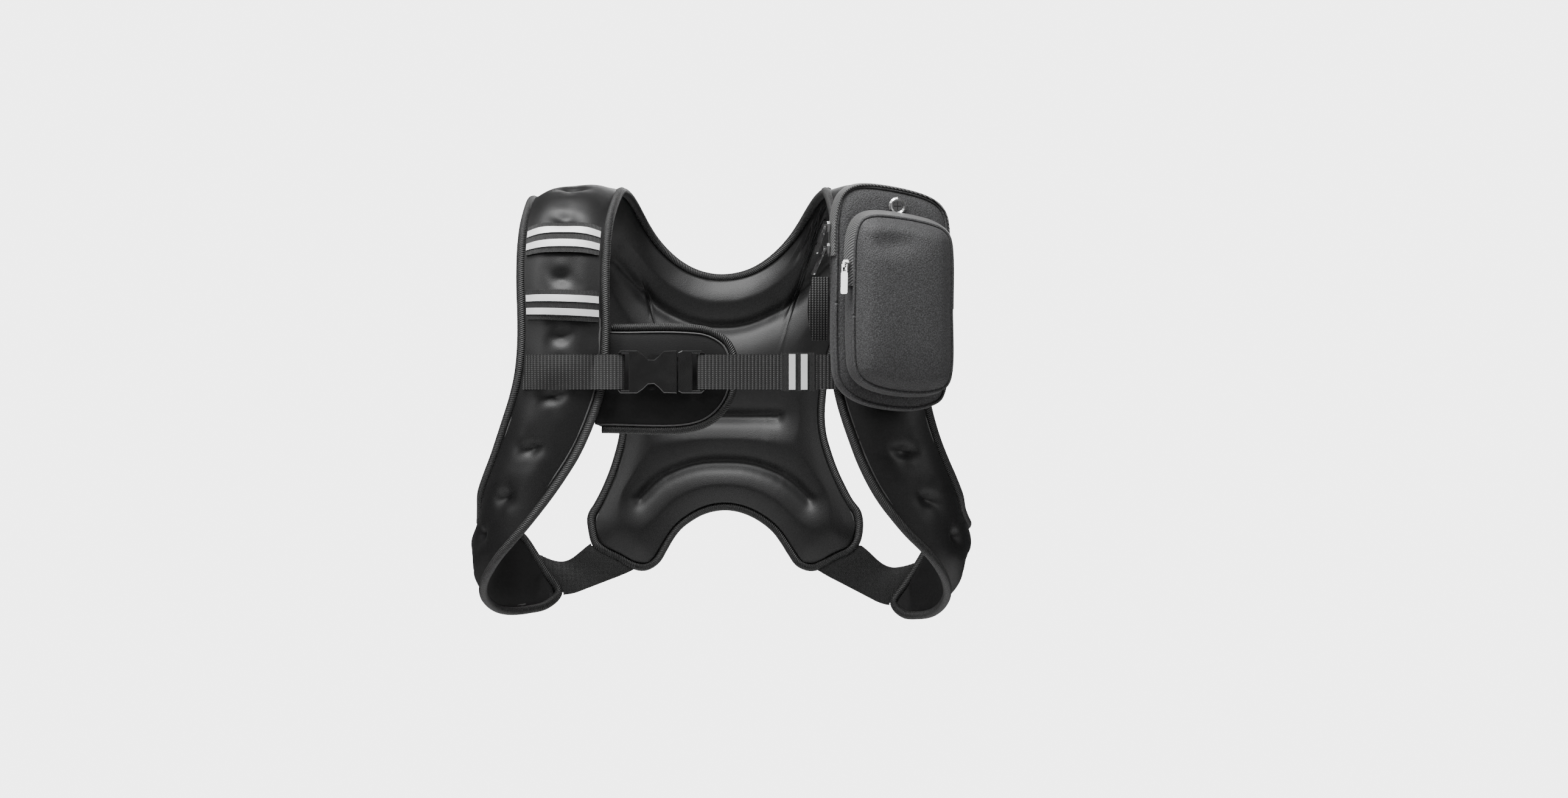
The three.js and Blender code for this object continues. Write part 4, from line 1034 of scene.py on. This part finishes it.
# %% Chest webbing
def map_along(obj):
    points = points_of(obj)
    order = np.linspace(points[:, 0].min(), points[:, 0].max(), 60)
    nearest = [np.argsort(np.abs(points[:, 0] - x))[:24] for x in order]
    depth = [points[near, 1].min() for near in nearest]
    length = np.concatenate([[0], np.cumsum(np.hypot(np.diff(order), np.diff(depth)))])
    along = np.interp(points[:, 0], order, length)
    layer = obj.data.uv_layers
    uv = (layer[0] if len(layer) else layer.new(name="UVMap")).data
    for loop in obj.data.loops:
        uv[loop.index].uv = (along[loop.vertex_index], points[loop.vertex_index, 2])
    return float(length[-1])


for side in ("right", "left"):
    band = soft_band(side + "_webbing", side + "_chest_webbing", WEBBING, "webbing", 2)
    print(band.name, "length", round(map_along(band), 3))

# %% [markdown]
# ## The pouch
# The phone pouch is a zipped knit bag with a second bag on its front. Both are padded, so their
# corners stay round, and a thin piped seam runs round each front. The fan of faces that closes a
# bag's front would show as facets, so each front is relaxed smooth, and the pocket's front is given
# one smooth dome, with a soft sag where the pocket's top hangs from its zip.

# %% Pouch
POUCH_TURN = math.radians(15)
POUCH_FRONT = np.array((math.sin(POUCH_TURN), -math.cos(POUCH_TURN), 0))
POUCH_ACROSS = np.array((math.cos(POUCH_TURN), math.sin(POUCH_TURN), 0))
FRONT_REACH = 0.006
ROUNDED_RIM = 0.014
FLAT_SHARE = 0.35
POCKET_CROWN = 0.015
# The sag under the pocket's zip: its depth in metres, and its place and size as shares of the front
SAG_DEPTH = 0.0035
SAG_PLACE = (0.36, 0.84)
SAG_SIZE = (0.20, 0.055)
PIPING_RADIUS = 0.0014
POUCH_PIPING = 2
POCKET_PIPING = 4


def front_ring(node, level):
    """One ring of a bag's wall, in order round it. The rings are counted from its front."""
    flat = np.array([tuple(v.co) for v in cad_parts[node].data.vertices])
    flat = np.unique(flat.round(6), axis=0)
    depth = flat @ POUCH_FRONT
    ring = flat[np.abs(depth - np.unique(depth.round(4))[-level]) < 0.0002]
    middle = (ring.min(axis=0) + ring.max(axis=0)) / 2
    away = ring - middle
    ring = ring[np.linalg.norm(away, axis=1) > 0.02]
    away = ring - middle
    return ring[np.argsort(np.arctan2(away[:, 2], away @ POUCH_ACROSS))]


def crown_front(shell, ring, rise):
    """Fills the front of a bag, most in its middle, with a soft sag under its top edge."""
    points = points_of(shell)
    base = (ring @ POUCH_FRONT).mean()
    depth = points @ POUCH_FRONT
    shares = []
    for direction in (POUCH_ACROSS, np.array((0, 0, 1.0))):
        low, high = (ring @ direction).min(), (ring @ direction).max()
        shares.append(np.clip((points @ direction - low) / (high - low), 0, 1))
    across, up = shares
    gap = distance_to(points, np.vstack([ring, ring[:1]]))
    shoulder = 1 - (1 - np.clip(gap / ROUNDED_RIM, 0, 1)) ** 2
    dome = (1 - (2 * across - 1) ** 4) * (1 - (2 * up - 1) ** 4)
    aside = (across - SAG_PLACE[0]) / SAG_SIZE[0]
    below = (up - SAG_PLACE[1]) / SAG_SIZE[1]
    sag = SAG_DEPTH * np.exp(-(aside**2) - below**2)
    full = base + shoulder * (rise * (FLAT_SHARE + (1 - FLAT_SHARE) * dome) - sag)
    points += np.where(depth > base - 0.0002, full - depth, 0)[:, None] * POUCH_FRONT
    set_points(shell, points)


def piping(name, shell, ring, radius):
    """A cord sewn round a bag, laid on its surface."""
    path = []
    for point in refine(np.vstack([ring, ring[:1]]), 0.002):
        _, place, normal, _ = shell.closest_point_on_mesh(Vector(point))
        path.append(np.array(place + normal * radius * 0.4))
    path = np.array(path)
    settle(sweep(name, path, circle(radius, 10), POUCH_FRONT), KNIT, "knit")


def bag(node, name, levels, level, crown):
    shell = copy_of(node, name)
    crease_rims(shell, 60, 0.3)
    subdivide(shell, levels)
    points = points_of(shell)
    depth = points @ POUCH_FRONT
    relax(shell, depth > depth.max() - FRONT_REACH, 60)
    if crown:
        crown_front(shell, front_ring(node, level), crown)
    settle(shell, KNIT, "knit", node)
    return shell


pouch = bag("pouch_shell", "pouch_bag", 2, 1, 0)
pocket = bag("front_pocket", "pocket_bag", 2, POCKET_PIPING, POCKET_CROWN)
piping("pouch_piping", pouch, front_ring("pouch_shell", POUCH_PIPING), PIPING_RADIUS)
piping("pocket_piping", pocket, front_ring("front_pocket", POCKET_PIPING), PIPING_RADIUS)
soft_band("pouch_zip", "pouch_zip_tape", ZIP_TAPE, "zip")
soft_band("pocket_zip", "pocket_zip_tape", ZIP_TAPE, "zip")

# %% [markdown]
# ## Hard parts
# The buckle, the zip sliders and pulls, and the eyelet keep their measured solids. A small bevel
# takes the sharpness off the buckle's edges, so that each of them shows a thin line of light.

# %% Hard parts
def finish_node(node, material, width, segments=2):
    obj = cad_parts[node]
    for place in obj.material_slots:
        place.link = "OBJECT"
        place.material = material
    if width:
        bevel = obj.modifiers.new("edges", "BEVEL")
        bevel.width = width
        bevel.segments = segments
        bevel.limit_method = "ANGLE"
        bevel.angle_limit = math.radians(40)


for node in ("buckle_socket", "buckle_plug"):
    finish_node(node, PLASTIC, 0.0012, 3)
for name in ("pocket", "upper", "lower"):
    finish_node(name + "_slider", PLATED, 0)
    finish_node(name + "_pull", PLATED, 0)
finish_node("grommet_ring", PLATED, 0)
finish_node("grommet_plug", RUBBER, 0)
